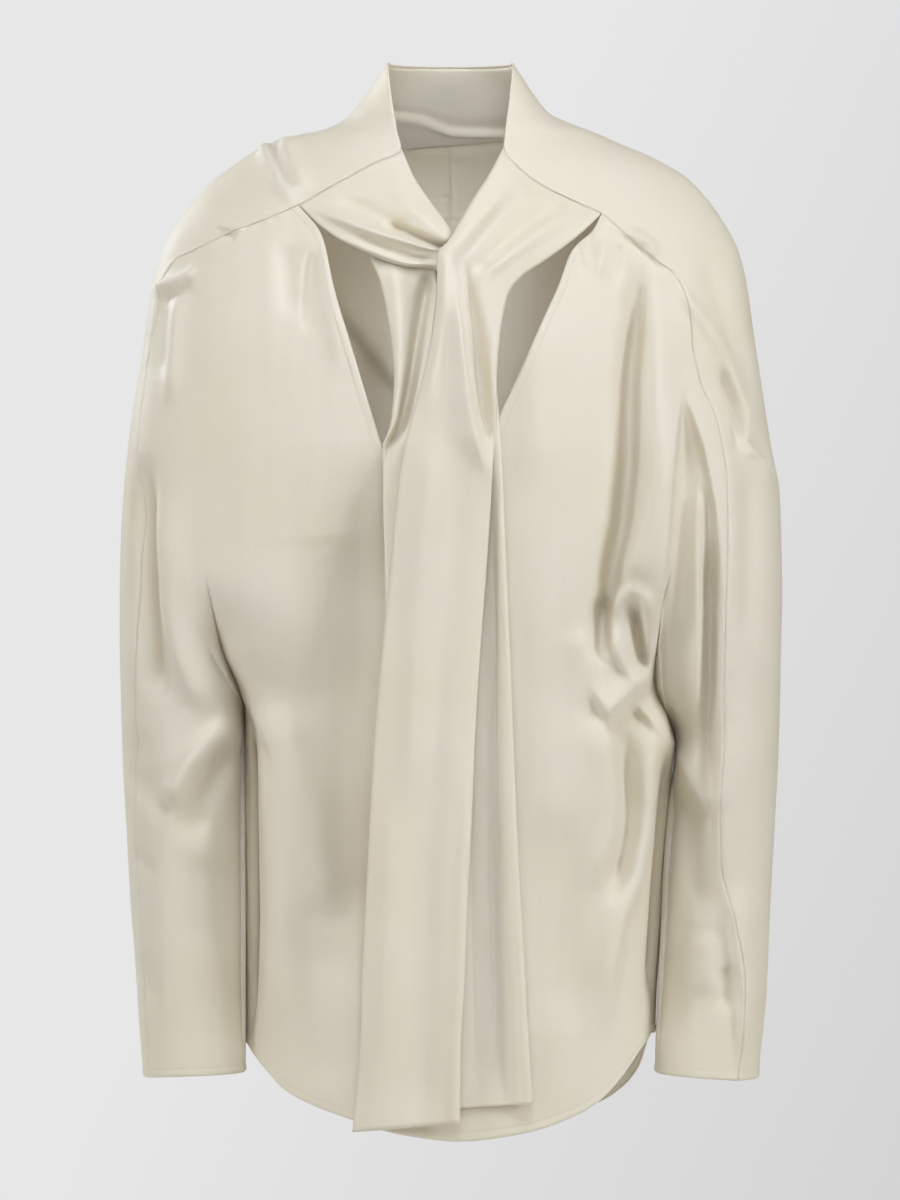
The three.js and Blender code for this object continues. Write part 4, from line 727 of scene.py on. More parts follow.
# %% The four grids of each half of the front
def front_grids(side):
    sign = SIGN[side]
    rows = FRONT_ROWS
    sleeve_shares = places(36, 60, first=SEAM_LINES)
    body_shares = places(84, 150, last=EDGE_LINES)
    low_rows = places(60, 255, last=EDGE_LINES)

    def seam(levels):
        x, z = seam_place(side, levels)
        return np.stack([sign * x, z], -1)

    z_line = mix(ARMLINE[side][0]["z"], UNDERARM[side], rows)
    line = np.stack([sign * armline[side](z_line), z_line], -1)
    under = UNDERARM[side]
    turn = mix(seam_angle(side, under), -np.pi, sleeve_shares)
    sleeve_bottom = sleeve_ring(side, np.full(turn.shape, under), turn)[:, [0, 2]]
    body_bottom = np.stack([
        sign * body_side[side](under) * np.cos(body_shares * np.pi / 2),
        mix(under, CENTRE_SPLIT, smooth(body_shares, 0, 1)),
    ], -1)
    in_v = rows <= V_SHARE
    v_end = np.where(
        in_v[:, None],
        along_line(V_EDGE[side], np.clip(rows / V_SHARE, 0, 1)),
        along_line([V_EDGE[side][-1], (0, CENTRE_SPLIT)], np.clip((rows - V_SHARE) / (1 - V_SHARE), 0, 1)),
    )
    sleeve_top, overarm_edge = seam(mix(CORNER, FOLD, sleeve_shares)), seam(mix(CORNER, SPLIT, rows))
    sleeve_xz = patch(sleeve_top, sleeve_bottom, overarm_edge, line, sleeve_shares, rows)
    body_xz = patch(seam(mix(FOLD, TIE_END, body_shares)), body_bottom, line, v_end, body_shares, rows)
    grids = []
    for xz in (sleeve_xz, body_xz):
        x, z = xz[..., 0], xz[..., 1]
        grids.append(np.stack([x, skin_y(x, z, -1, side), z], -1))
    grids[0][-1] = sleeve_ring(side, np.full(turn.shape, under), turn)
    grids[0][-1, -1, 1] = sleeve_middle(under)
    grids[1][:, 0] = grids[0][:, -1]
    arm, arm_lobe, _ = hanging_sleeve(side, -1, sleeve_shares, low_rows)
    body, body_lobe = hanging_body(side, -1, body_shares, low_rows)
    sleeve, chest = grids
    down = lengths_from(sleeve, 0, "first")[:, :1]
    across = lengths_from(sleeve, 1, "first")[:1]
    depth = mix(1.0, SEAM_DEPTH[side], smooth(mix(CORNER, SPLIT, rows), LAST - 1, LAST + 3))[:, None]
    sleeve_seam = seam_relief(lengths_from(sleeve, 1, "first"), down, 3, 0.0) * depth
    top_seam = seam_relief(lengths_from(sleeve, 0, "first"), across, 4, 0.0)
    along_top = across[0, -1] + lengths_from(chest, 1, "first")[:1]
    chest_top = seam_relief(lengths_from(chest, 0, "first"), along_top, 4, 0.0)
    v_fade = 1 - smooth(rows, V_SHARE - 0.02, V_SHARE)[:, None]
    v_edge = edge_relief(lengths_from(chest, 1, "last")) * v_fade
    down_arm = down[-1] + lengths_from(arm, 0, "first")
    arm_relief = seam_relief(lengths_from(arm, 1, "first"), down_arm, 3, 0.0)
    arm_relief = arm_relief * SEAM_DEPTH[side]
    arm_relief = arm_relief + edge_relief(lengths_from(arm, 0, "last"))
    hem_relief = edge_relief(lengths_from(body, 0, "last"))
    sleeve = raise_by(add_folds(sleeve, -1, side), np.minimum(sleeve_seam, top_seam), -1, side)
    chest = raise_by(add_folds(chest, -1, side), chest_top + v_edge, -1, side)
    arm = raise_by(add_folds(arm, -1, side, arm_lobe), arm_relief, -1, side, arm_lobe)
    body = raise_by(add_folds(body, -1, side, body_lobe), hem_relief, -1, side, body_lobe)
    chest[:, 0] = sleeve[:, -1]
    arm[0], body[0] = sleeve[-1], chest[-1]
    return [sleeve, chest, arm, body]


print("the V takes", V_SHARE, "of the front rows")

# %% [markdown]
# Blender gets each sheet as a mesh with a UV map measured in metres along the cloth, so the weave keeps
# its size. Points that two grids share are merged, then a Solidify modifier turns the sheet into cloth
# with a real thickness.

# %% Making a mesh of the grids
CLOTH, MERGE_WITHIN = 0.0007, 0.00002


def build_piece(name, grids, way):
    mesh = bpy.data.meshes.new(name)
    points, faces, uvs = [], [], []
    for grid in grids:
        rows, columns = grid.shape[:2]
        base = len(points)
        points.extend((grid.reshape(-1, 3) * MM).tolist())
        # The piece's own middle row and column measure the cloth.
        down = np.vstack([np.zeros(3), np.diff(grid[:, columns // 2], axis=0)])
        over = np.vstack([np.zeros(3), np.diff(grid[rows // 2], axis=0)])
        v = np.cumsum(np.linalg.norm(down, axis=1)) * MM
        u = np.cumsum(np.linalg.norm(over, axis=1)) * MM
        j, i = np.meshgrid(np.arange(rows - 1), np.arange(columns - 1), indexing="ij")
        corner = base + j * columns + i
        quads = np.stack([corner, corner + 1, corner + columns + 1, corner + columns], -1).reshape(-1, 4)
        corner_uvs = np.stack([
            np.stack([u[i], v[j]], -1), np.stack([u[i + 1], v[j]], -1),
            np.stack([u[i + 1], v[j + 1]], -1), np.stack([u[i], v[j + 1]], -1),
        ], 2).reshape(-1, 4, 2)
        a, b, d = grid[:-1, :-1], grid[:-1, 1:], grid[1:, :-1]
        looks = np.cross(b - a, d - a).reshape(-1, 3).sum(0)
        if np.dot(looks, way) < 0:
            quads, corner_uvs = quads[:, ::-1], corner_uvs[:, ::-1]
        faces.extend(quads.tolist())
        uvs.append(corner_uvs.reshape(-1, 2))
    mesh.from_pydata(points, [], faces)
    layer = mesh.uv_layers.new(name="cloth")
    layer.data.foreach_set("uv", np.concatenate(uvs).ravel())
    obj = bpy.data.objects.new(name, mesh)
    bpy.context.collection.objects.link(obj)
    merge_points(mesh)
    mesh.shade_smooth()
    wall = obj.modifiers.new("cloth wall", "SOLIDIFY")
    wall.thickness = CLOTH
    wall.offset = -1
    wall.use_even_offset = False
    return obj


def merge_points(mesh):
    work = bmesh.new()
    work.from_mesh(mesh)
    bmesh.ops.remove_doubles(work, verts=work.verts, dist=MERGE_WITHIN)
    work.to_mesh(mesh)
    work.free()


FRONTWARD, BACKWARD = np.array([0, -1, 0]), np.array([0, 1, 0])
print("wall", CLOTH / MM, "mm")

# %% [markdown]
# The front is one dolman piece, cut with no armhole: both halves of the body with their sleeve fronts,
# joined below the V. The two halves could be mirrored, but the photograph's aren't alike, so each is
# built from its own tables.

# %% The front
front_parts = {side: front_grids(side) for side in SIGN}
left_chest, right_chest = front_parts["left"][1], front_parts["right"][1]
closed = FRONT_ROWS >= V_SHARE
joined = (left_chest[closed, -1] + right_chest[closed, -1]) / 2
left_chest[closed, -1] = right_chest[closed, -1] = joined
low_joined = (front_parts["left"][3][:, -1] + front_parts["right"][3][:, -1]) / 2
front_parts["left"][3][:, -1] = front_parts["right"][3][:, -1] = low_joined
front = build_piece("blouse_front", front_parts["right"] + front_parts["left"], FRONTWARD)
print("front", len(front.data.polygons), "faces")

# %% [markdown]
# The back is cut in two halves with a seam down the middle, which shows inside the neck. The halves
# meet point by point along that seam, and each runs round the arm to the front seam, so no gap opens at
# the side.

# %% The back pieces
backs, back_parts = {}, {}
for side in SIGN:
    back_parts[side] = back_grids(side)
    backs[side] = build_piece(f"blouse_back_{side}", list(back_parts[side]), BACKWARD)
    print(f"back {side}", len(backs[side].data.polygons), "faces")

# %% [markdown]
# The tie is laid as the hands would lay it: each half leaves its shoulder seam as wide as the seam,
# narrows to the crossing and falls as a flat tail. It could be bent from a flat strip, but the crossing
# is too tight for a clean bend, so a row of the table is a section from edge a to edge b. Lift is how
# far it lies in front of the body and crown how much it bulges. Its pleats are soft ridges that start
# at one place across the strip and end at another.

# %% Stretches of the tie
TIE_COLUMNS = "ax az bx bz lift crown"
TIE_LEFT = table(TIE_COLUMNS, [
    (39.4, -15, 112.1, -65.2, 0, 0), (29.4, -34.4, 98, -79, 2.4, 2), (18.2, -51.9, 84.5, -90, 3, 4),
    (9.3, -67, 67.1, -102.6, 4, 6), (-0.4, -84.3, 53, -112.5, 5.5, 8),
    (-9.3, -96.4, 42.6, -126.7, 6.5, 9), (-10.7, -130.6, 37.3, -152.8, 8, 8),
    (-15.1, -164.1, 34.4, -184.1, 9, 7), (-24, -201.1, 33.6, -212.2, 10, 6),
    (-33.6, -238.1, 32.1, -241.8, 10, 5), (-38.7, -271.4, 29.9, -278.7, 9.5, 5),
    (-44.6, -334.1, 26.2, -334.1, 9.5, 4), (-50.5, -393.1, 21.8, -393.1, 9.5, 4),
    (-55.7, -452.1, 18.1, -452.1, 9.5, 4), (-59.4, -511.2, 15.9, -511.2, 9.5, 3),
    (-62.4, -570.2, 12.9, -570.2, 9.5, 3), (-65.3, -629.3, 10.7, -629.3, 9.5, 3),
    (-66.8, -684.7, 7.8, -684.7, 9.5, 3), (-72.7, -745.3, 7, -738.6, 9.5, 3),
])
TIE_RIGHT = table(TIE_COLUMNS, [
    (-36.4, -16.5, -112.9, -58.5, 0, 0), (-26.4, -38.8, -95.5, -75.3, 0.5, 3),
    (-15.2, -55.6, -78.3, -87.5, 1, 5), (-6.3, -67.7, -56, -98.1, 0.5, 5),
    (1.9, -79.1, -33.7, -105, -0.5, 3), (9.3, -88.1, -13.7, -106.6, -1.5, 1),
    (16.7, -102.2, -4.1, -115.6, -1.5, 1), (24.8, -130.5, -1.8, -137.9, 0, 1),
    (30.7, -167.7, -3.3, -167.7, 2.5, 1), (34.4, -197.4, -4.8, -204.7, 4, 1),
    (36.6, -226.9, -6.3, -241.7, 4.5, 1), (39.5, -278.7, -7, -278.7, 4.5, 1),
    (42.5, -352.5, -8.5, -352.5, 4.5, 1), (45.4, -419, -10, -426.3, 4.5, 1),
    (48.4, -500.3, -12.2, -500.3, 4.5, 1), (52.1, -574.2, -14.4, -574.2, 4.5, 1),
    (55.8, -637.8, -15.9, -637.8, 4.5, 1), (58.8, -692.5, -17.4, -692.5, 4.5, 1),
    (61, -724.3, -18.1, -729.5, 4.5, 1),
])
TIE_FOLD = table(TIE_COLUMNS, [
    (-10, -90, -65.7, -80, -2.6, -2), (-10, -104.8, -60.2, -97, -4, -1),
    (-10, -122.8, -51.5, -118.8, -2.4, 1), (-12.2, -152.6, -45.5, -150.6, 0.5, 2),
    (-16.6, -189.7, -41.8, -187.7, 3, 1), (-21.1, -222.4, -44, -220.4, 4, 0),
    (-25.5, -241.7, -49.9, -241.7, 4.5, 0), (-28.4, -278.7, -49.8, -278.7, 4.5, 0),
    (-28.4, -323, -48.4, -323, 4.5, 0), (-28.4, -367.3, -47.6, -367.3, 4.5, 0),
])
PLEATS = {
    "left": table("name at end_at first last near far high", [
        ("tail edge", 0.22, 0.93, 5.2, 9.6, 0.2, 0.035, 7),
        ("valley", 0.36, 1.03, 4.6, 9.6, 0.05, 0.16, -9),
        ("lit band", 0.1, 0.14, 4.2, 8.6, 0.1, 0.1, 4),
        ("outer edge", 0.93, 0.97, 5.5, 10.2, 0.1, 0.1, 4),
        ("shoulder pleat", 0.78, 0.62, 0.1, 5.2, 0.07, 0.1, 3.5),
        ("shoulder trough", 0.6, 0.5, 0.4, 5.4, 0.08, 0.1, -4),
        ("neck pleat", 0.36, 0.3, 0.2, 5.6, 0.1, 0.07, 3),
        ("neck trough", 0.2, 0.16, 1.2, 5.4, 0.06, 0.06, -2.5),
        ("tail ridge", 0.3, 0.4, 8.5, 14.5, 0.16, 0.2, 3.5),
        ("tail trough", 0.7, 0.6, 9.0, 14.5, 0.14, 0.14, -3.5),
        ("low trough", 0.55, 0.66, 13.0, 18.6, 0.2, 0.14, -4.5),
        ("low edge", 0.95, 0.96, 13.0, 18.9, 0.08, 0.05, 3.5),
        ("low ridge", 0.24, 0.2, 13.5, 18.8, 0.16, 0.2, 3),
    ]),
    "right": table("name at end_at first last near far high", [
        ("lit ridge", 0.93, 0.42, 0.1, 4.6, 0.1, 0.05, 6),
        ("dark crease", 0.52, 0.28, 1.9, 4.9, 0.06, 0.09, -9),
        ("soft trough", 0.66, 0.4, 0.3, 2.8, 0.1, 0.12, -3.5),
        ("upper ridge", 0.2, 0.16, 0.5, 4.6, 0.12, 0.12, 3),
        ("lower roll", 0.97, 0.9, 1.2, 5.2, 0.09, 0.05, 4),
        ("lower trough", 0.86, 0.7, 1.4, 4.8, 0.05, 0.05, -3),
        ("tail fold", 0.2, 0.22, 10.2, 18.6, 0.07, 0.1, -4),
        ("tail edge", 0.04, 0.04, 10.0, 18.8, 0.05, 0.08, 3),
        ("tail low ridge", 0.14, 0.16, 12.0, 18.8, 0.05, 0.06, 2.5),
        ("tail shade", 0.44, 0.42, 9.0, 18.9, 0.17, 0.3, -5),
    ]),
    "fold": table("name at end_at first last near far high", [
        ("valley", -0.02, 0.95, 0.8, 6.6, 0.2, 0.13, -10),
        ("lit side", 0.62, 0.97, 0.6, 5.8, 0.16, 0.2, 4),
    ]),
}
TIE_DEPTH = 1.3
TIE_EDGES = (0, 0.5, 1.2, 2.2)
print("tie sections", len(TIE_LEFT), len(TIE_RIGHT), len(TIE_FOLD))


# %% Laying a stretch of the tie
def pleat_height(pleats, s, place):
    height = np.zeros(np.broadcast_shapes(s.shape, place.shape))
    for pleat in pleats:
        t = (place - pleat["first"]) / (pleat["last"] - pleat["first"])
        fade = smooth(t, 0, 0.25) * (1 - smooth(t, 0.78, 1))
        off = s - mix(pleat["at"], pleat["end_at"], np.clip(t, 0, 1))
        reach = mix(pleat["near"], pleat["far"], smooth(off, -0.01, 0.01))
        height = height + pleat["high"] * TIE_DEPTH * fade * np.exp(-((off / reach) ** 2))
    return height


def tie_grid(rows_table, pleats, columns, rows, root=None):
    place = np.linspace(0, len(rows_table) - 1, rows + 1)
    numbered = [dict(row, i=i) for i, row in enumerate(rows_table)]
    at = {key: curve(numbered, "i", key)(place)[:, None] for key in TIE_COLUMNS.split()}
    s = places(columns, 75, first=TIE_EDGES, last=TIE_EDGES)
    x = mix(at["ax"], at["bx"], s)
    z = mix(at["az"], at["bz"], s)
    if root is not None:
        root = root(s)
        blend = 1 - smooth(place, 0, 1)[:, None]
        x = x + blend * (root[None, :, 0] - x[0])
        z = z + blend * (root[None, :, 1] - z[0])
    side_reach = np.where(x < 0, hull["right"](z), hull["left"](z))
    edge = hull["side"](z)
    body = edge + (hull["front"](z) - edge) * arch(x / side_reach, hull["power"](z))
    bulge = at["crown"] * (1 - (2 * s - 1) ** 2) + pleat_height(pleats, s, place[:, None])
    grid = np.stack([x, body - at["lift"] - bulge + 0 * x, z + 0 * x], -1)
    from_a, from_b = lengths_from(grid, 1, "first"), lengths_from(grid, 1, "last")
    rolled = -1.5 * (np.exp(-((from_a / 0.9) ** 2)) + np.exp(-((from_b / 0.9) ** 2)))
    grid[..., 1] -= rolled + ripple(x, z, FRONT_RIPPLE) * smooth(place, 0, 2)[:, None]
    return grid


def tie_root(side):
    def root(s):
        x, z = seam_place(side, mix(NECK, TIE_END, s))
        return np.stack([SIGN[side] * x, z], -1)

    return root


tie_right = build_piece(
    "tie_right_half", [tie_grid(TIE_RIGHT, PLEATS["right"], 44, 240, tie_root("right"))], FRONTWARD)
tie_left = build_piece(
    "tie_left_half", [tie_grid(TIE_LEFT, PLEATS["left"], 56, 240, tie_root("left"))], FRONTWARD)
tie_fold = build_piece("tie_under_fold", [tie_grid(TIE_FOLD, PLEATS["fold"], 30, 110)], FRONTWARD)
print("tie", sum(len(o.data.polygons) for o in (tie_right, tie_left, tie_fold)), "faces")

# %% [markdown]
# The facing finishes the neck inside. It is the collar's own surface moved in by the cloth and a little
# air, which keeps it parallel to the collar without any fitting. Its loose lower part has rolled
# forward, so a wavy crest catches the light above the free edge.

# %% The neck facing
FACING_ROLL = table("x crest foot", [
    (-80, 3.2, 5.2), (-38, 3.5, 5.8), (-23, 3.7, 5.6), (-8, 4.23, 5.4),
    (3, 4.62, 5.3), (40, 4.77, 5.0), (80, 4.2, 4.8),
])
FACING_INSET = table("share inset", [
    (0, 2.4), (0.45, 2.0), (0.56, 1.2), (0.64, 6.5), (0.74, 5), (0.9, 4), (1, 3),
])
ROLL_SHARE = 0.64


def facing_grid():
    crest_at, foot_at = curve(FACING_ROLL, "x", "crest"), curve(FACING_ROLL, "x", "foot")
    columns = np.linspace(2, BACK_SLEEVE + BACK_BODY, 70)
    shares = np.linspace(0, 1, 40)
    halves = []
    for side in ("right", "left"):
        guide = back_upper(side, [3.0], columns)[0][0]
        crest, foot = crest_at(guide[:, 0]), foot_at(guide[:, 0])
        rows = []
        for share in shares:
            above = mix(0.12, crest, share / ROLL_SHARE)
            below = mix(crest, foot, (share - ROLL_SHARE) / (1 - ROLL_SHARE))
            levels = np.where(share < ROLL_SHARE, above, below)
            spots = zip(levels, columns)
            rows.append(np.array([back_upper(side, [level], [column])[0][0, 0] for level, column in spots]))
        half = np.array(rows)
        halves.append(half if side == "right" else half[:, ::-1][:, 1:])
    grid = np.concatenate(halves, axis=1)
    normal = np.cross(np.gradient(grid, axis=1), np.gradient(grid, axis=0))
    normal /= np.linalg.norm(normal, axis=-1, keepdims=True)
    away = grid - np.array([0, 10, 0])
    away[..., 2] = 0
    turned = np.sign((normal * away).sum(-1, keepdims=True))
    return grid - normal * turned * curve(FACING_INSET, "share", "inset")(shares)[:, None, None]


facing = build_piece("neck_facing_cloth", [facing_grid()], BACKWARD)
print("facing", len(facing.data.polygons), "faces")

# %% [markdown]
# A material starts from the real one. This blouse looks like a satin-backed crepe, perhaps of silk or
# viscose, and a matching polyester thread is assumed. A photograph of cloth could be wrapped over it,
# but nodes that follow the cloth's own UV map keep the yarns along the piece, at a stated size, and hold
# nothing of the picture.

# %% Colours and nodes
def linear(code):
    parts = [int(code[i : i + 2], 16) / 255 for i in (1, 3, 5)]
    return tuple(c / 12.92 if c <= 0.04045 else ((c + 0.055) / 1.055) ** 2.4 for c in parts) + (1.0,)


def add(tree, kind, links=None, **settings):
    node = tree.nodes.new(kind)
    for key, value in settings.items():
        if key.startswith("in_"):
            name = key[3:].replace("_", " ")
            node.inputs[int(name) if name.isdigit() else name].default_value = value
        else:
            setattr(node, key, value)
    for name, source in (links or {}).items():
        tree.links.new(source, node.inputs[name])
    return node


def emptied(owner):
    owner.use_nodes = True
    owner.node_tree.nodes.clear()
    return owner.node_tree


def set_ramp(ramp, low, high):
    first, last = ramp.color_ramp.elements
    first.color, last.color = linear(low), linear(high)
    return ramp


print("ivory in linear light", tuple(round(c, 3) for c in linear("#e6decf")))

# %% The cloth's material
# CLOUD is the size of the soft patches in the cloth's tone and CRINKLE that of the dents left by
# wearing and pressing, in millimetres. SLUB is the pitch of its yarns, which is really about 0.2 mm and
# is drawn coarser so that it shows.
CLOUD, CRINKLE, SLUB = 110.0, 18.0, 1.1


# Crepe is woven from hard-twisted yarns, which scatter the light: to the eye it is matt, with a low and
# broad sheen, and light that has gone a little way into it comes back warmer.
def ivory_crepe(name, base, deep):
    material = bpy.data.materials.new(name)
    tree = emptied(material)
    uv = add(tree, "ShaderNodeUVMap", uv_map="cloth")
    place = add(tree, "ShaderNodeTexCoord").outputs["Object"]
    cloud = add(tree, "ShaderNodeTexNoise", {"Vector": place}, in_Scale=1000 / CLOUD, in_Detail=3.0)
    tone = set_ramp(add(tree, "ShaderNodeValToRGB", {"Fac": cloud.outputs["Fac"]}), deep, base)
    tone.color_ramp.elements[0].position, tone.color_ramp.elements[1].position = 0.3, 0.7
    crinkle = add(tree, "ShaderNodeTexNoise", {"Vector": place}, in_Scale=1000 / CRINKLE, in_Detail=4.0)
    threads = add(tree, "ShaderNodeMapping", {"Vector": uv.outputs[0]}, in_Scale=(1.0, 0.35, 1.0))
    slub = add(tree, "ShaderNodeTexNoise", {"Vector": threads.outputs[0]},
               in_Scale=1000 / SLUB, in_Detail=2.0)
    low = add(tree, "ShaderNodeBump", {"Height": crinkle.outputs["Fac"]},
              in_Strength=0.3, in_Distance=0.0012)
    fine = add(tree, "ShaderNodeBump", {"Height": slub.outputs["Fac"], "Normal": low.outputs[0]},
               in_Strength=0.3, in_Distance=0.0003)
    shine = add(tree, "ShaderNodeMapRange", {"Value": slub.outputs["Fac"]}, in_To_Min=0.48, in_To_Max=0.62)
    shader = add(tree, "ShaderNodeBsdfPrincipled",
                 {"Base Color": tone.outputs["Color"], "Roughness": shine.outputs[0],
                  "Normal": fine.outputs[0]},
                 in_Sheen_Weight=0.06, in_Sheen_Roughness=0.4, in_IOR=1.4, in_Subsurface_Weight=0.5,
                 in_Subsurface_Scale=0.002, in_Subsurface_Radius=(1.0, 0.92, 0.78))
    add(tree, "ShaderNodeOutputMaterial", {"Surface": shader.outputs[0]})
    return material


crepe = ivory_crepe("ivory_satin_backed_crepe", "#e6decf", "#e1d9c6")
for piece in (front, backs["right"], backs["left"], tie_right, tie_left, tie_fold, facing):
    piece.data.materials.append(crepe)
print("cloth", crepe.name)

# %% The thread's material
# TWIST is the size of the thread's ply in millimetres. It is really about 0.15 mm and is drawn coarser.
TWIST = 0.6


# Sewing thread is spun from short fibres, twisted and waxed: to the eye it is a little glossier and
# darker than the cloth, and uneven along its length.
def sewing_thread(name, base, deep):
    material = bpy.data.materials.new(name)
    tree = emptied(material)
    place = add(tree, "ShaderNodeTexCoord").outputs["Object"]
    twist = add(tree, "ShaderNodeTexNoise", {"Vector": place}, in_Scale=1000 / TWIST, in_Detail=1.0)
    tone = set_ramp(add(tree, "ShaderNodeValToRGB", {"Fac": twist.outputs["Fac"]}), deep, base)
    ply = add(tree, "ShaderNodeBump", {"Height": twist.outputs["Fac"]}, in_Strength=0.5, in_Distance=0.0001)
    shader = add(tree, "ShaderNodeBsdfPrincipled",
                 {"Base Color": tone.outputs["Color"], "Normal": ply.outputs[0]},
                 in_Roughness=0.42, in_IOR=1.5)
    add(tree, "ShaderNodeOutputMaterial", {"Surface": shader.outputs[0]})
    return material


thread = sewing_thread("spun_polyester_thread", "#e6dccb", "#cfc4ae")
print("thread", thread.name)

# %% [markdown]
# The hems, cuffs and V edges are turned in by 6 mm and sewn with a matching thread. A lockstitch
# repeats along its line, so Geometry Nodes place one small capsule after another on a line that is read
# from the grid itself. Painted stitches would be lighter, but they wouldn't stand up from the cloth.
# The thread is drawn at 0.45 mm, about twice its real thickness, so that it still shows.

# %% The tree that sews a line
# The sizes are in metres.
STITCH = {"Spacing": 0.0034, "Length": 0.0026, "Thread": 0.00045, "Seed": 4, "Material": thread}


def stitch_tree():
    tree = bpy.data.node_groups.new("sewn_line", "GeometryNodeTree")
    tree.interface.new_socket("Line", in_out="INPUT", socket_type="NodeSocketGeometry")
    for name in ("Spacing", "Length", "Thread"):
        tree.interface.new_socket(name, in_out="INPUT", socket_type="NodeSocketFloat")
    tree.interface.new_socket("Seed", in_out="INPUT", socket_type="NodeSocketInt")
    tree.interface.new_socket("Material", in_out="INPUT", socket_type="NodeSocketMaterial")
    tree.interface.new_socket("Stitches", in_out="OUTPUT", socket_type="NodeSocketGeometry")
    given = add(tree, "NodeGroupInput").outputs
    line = add(tree, "GeometryNodeMeshToCurve", {"Mesh": given["Line"]})
    even = add(tree, "GeometryNodeResampleCurve", {"Curve": line.outputs[0], "Length": given["Spacing"]},
               mode="LENGTH")
    along = add(tree, "GeometryNodeInputTangent")
    turned = add(tree, "FunctionNodeAlignRotationToVector", {"Vector": along.outputs[0]}, axis="Z")
    uneven = add(tree, "FunctionNodeRandomValue", {"Seed": given["Seed"]},
                 data_type="FLOAT", in_2=0.85, in_3=1.05)
    long = add(tree, "ShaderNodeMath", {0: given["Length"], 1: uneven.outputs[1]}, operation="MULTIPLY")
    size = add(tree, "ShaderNodeCombineXYZ",
               {"X": given["Thread"], "Y": given["Thread"], "Z": long.outputs[0]})
    capsule = add(tree, "GeometryNodeMeshUVSphere", in_Segments=6, in_Rings=5, in_Radius=0.5)
    placed = add(tree, "GeometryNodeInstanceOnPoints", {
        "Points": even.outputs[0], "Instance": capsule.outputs[0],
        "Rotation": turned.outputs[0], "Scale": size.outputs[0],
    })
    real = add(tree, "GeometryNodeRealizeInstances", {"Geometry": placed.outputs[0]})
    named = add(tree, "GeometryNodeSetMaterial",
                {"Geometry": real.outputs[0], "Material": given["Material"]})
    add(tree, "NodeGroupOutput", {"Stitches": named.outputs[0]})
    return tree


sewn_line = stitch_tree()
print("stitch nodes", len(sewn_line.nodes))


# %% Sewing the turned edges
def sew(name, lines, tree=sewn_line):
    points, edges = [], []
    for line in lines:
        base = len(points)
        points.extend((line * MM).tolist())
        edges.extend((base + i, base + i + 1) for i in range(len(line) - 1))
    mesh = bpy.data.meshes.new(name)
    mesh.from_pydata(points, edges, [])
    obj = bpy.data.objects.new(name, mesh)
    bpy.context.collection.objects.link(obj)
    work = obj.modifiers.new("stitches", "NODES")
    work.node_group = tree
    for socket in tree.interface.items_tree:
        if socket.in_out == "INPUT" and socket.name in STITCH:
            work[socket.identifier] = STITCH[socket.name]
    seen = obj.evaluated_get(bpy.context.evaluated_depsgraph_get())
    made = bpy.data.meshes.new_from_object(seen)
    obj.modifiers.remove(work)
    obj.data = made
    made.name = name
    made.shade_smooth()
    return obj


def sewn_row(grid):
    return (grid[-6] + grid[-7]) / 2


def sewn_column(grid):
    return (grid[:, -6] + grid[:, -7]) / 2


in_v = FRONT_ROWS < V_SHARE - 0.03
front_lines = [sewn_row(front_parts[side][part]) for side in SIGN for part in (2, 3)]
front_lines += [sewn_column(front_parts[side][1])[in_v] for side in SIGN]
stitches = {front: sew("front_stitches", front_lines)}
for side in SIGN:
    back_lines = [sewn_row(back_parts[side][part]) for part in (1, 2)]
    stitches[backs[side]] = sew(f"back_{side}_stitches", back_lines)
print("stitch faces", [len(o.data.polygons) for o in stitches.values()])

# %% [markdown]
# Each piece is listed with the solid it stands for, the width and length it was cut to before it was
# sewn, and the pieces it rests on. The sizes and the pieces it rests on are only listed, and nothing
# below reads them. Each piece and its stitches are made to ride with the garment, and the solid it
# stands for is hidden. The width is the widest row along the cloth of the smooth piece, and of the tail
# alone for the tie. The length is the height of the front and the backs, and the line down the middle
# of the tie and the facing. All are rounded to what a cutter would mark. The area is that of the
# surface that is built here, so it agrees with the pieces by the way it is stated.

# %% Listing the cloth and hiding the solids
CUTS = [
    (front, "front", (0.66, 0.70), ["back_right", "back_left"]),
    (backs["right"], "back_right", (0.44, 0.81), []),
    (backs["left"], "back_left", (0.48, 0.81), []),
    (tie_right, "tie_right", (0.085, 0.76), ["front"]),
    (tie_left, "tie_left", (0.085, 0.77), ["front"]),
    (tie_fold, "tie_fold", (0.055, 0.30), ["front"]),
    (facing, "neck_facing", (0.28, 0.10), ["back_right", "back_left"]),
]


for piece in stitches.values():
    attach(piece, "root")
for piece, node, flat, rests_on in CUTS:
    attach(piece, "root")
    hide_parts(node)

# %% [markdown]
# The photograph looks level with the middle of the garment and taken from far off, against a pale grey
# backdrop. So the camera stands 8 m away with a long lens, and its frame is as tall as the picture is at
# the garment. A nearer camera would draw the front too large against the shoulders.

# %% The camera
PICTURE_TALL, CAMERA_Y, SENSOR = 0.9, -8.0, 24
scene = bpy.context.scene
camera_data = bpy.data.cameras.new("camera")
camera = bpy.data.objects.new("camera", camera_data)
scene.collection.objects.link(camera)
camera.location = (-0.0004, CAMERA_Y, EYE_HEIGHT * MM)
camera.rotation_euler = (math.pi / 2, 0, 0)
camera_data.sensor_fit = "VERTICAL"
camera_data.sensor_height = SENSOR
camera_data.lens = SENSOR * -CAMERA_Y / PICTURE_TALL
scene.camera = camera
scene.view_settings.view_transform = "Standard"
print("camera at", tuple(round(v, 3) for v in camera.location))

# %% [markdown]
# The floor is a round sheet of pale paper, below the frame of the photograph. It throws soft light back
# up under the cuffs and the hem, as a studio floor does. A curved backdrop would stand in the way of
# the views from behind.

# %% The floor
FLOOR_REACH, FLOOR_Z, FLOOR_CLOUD = 3.2, -1.0, 1 / 6


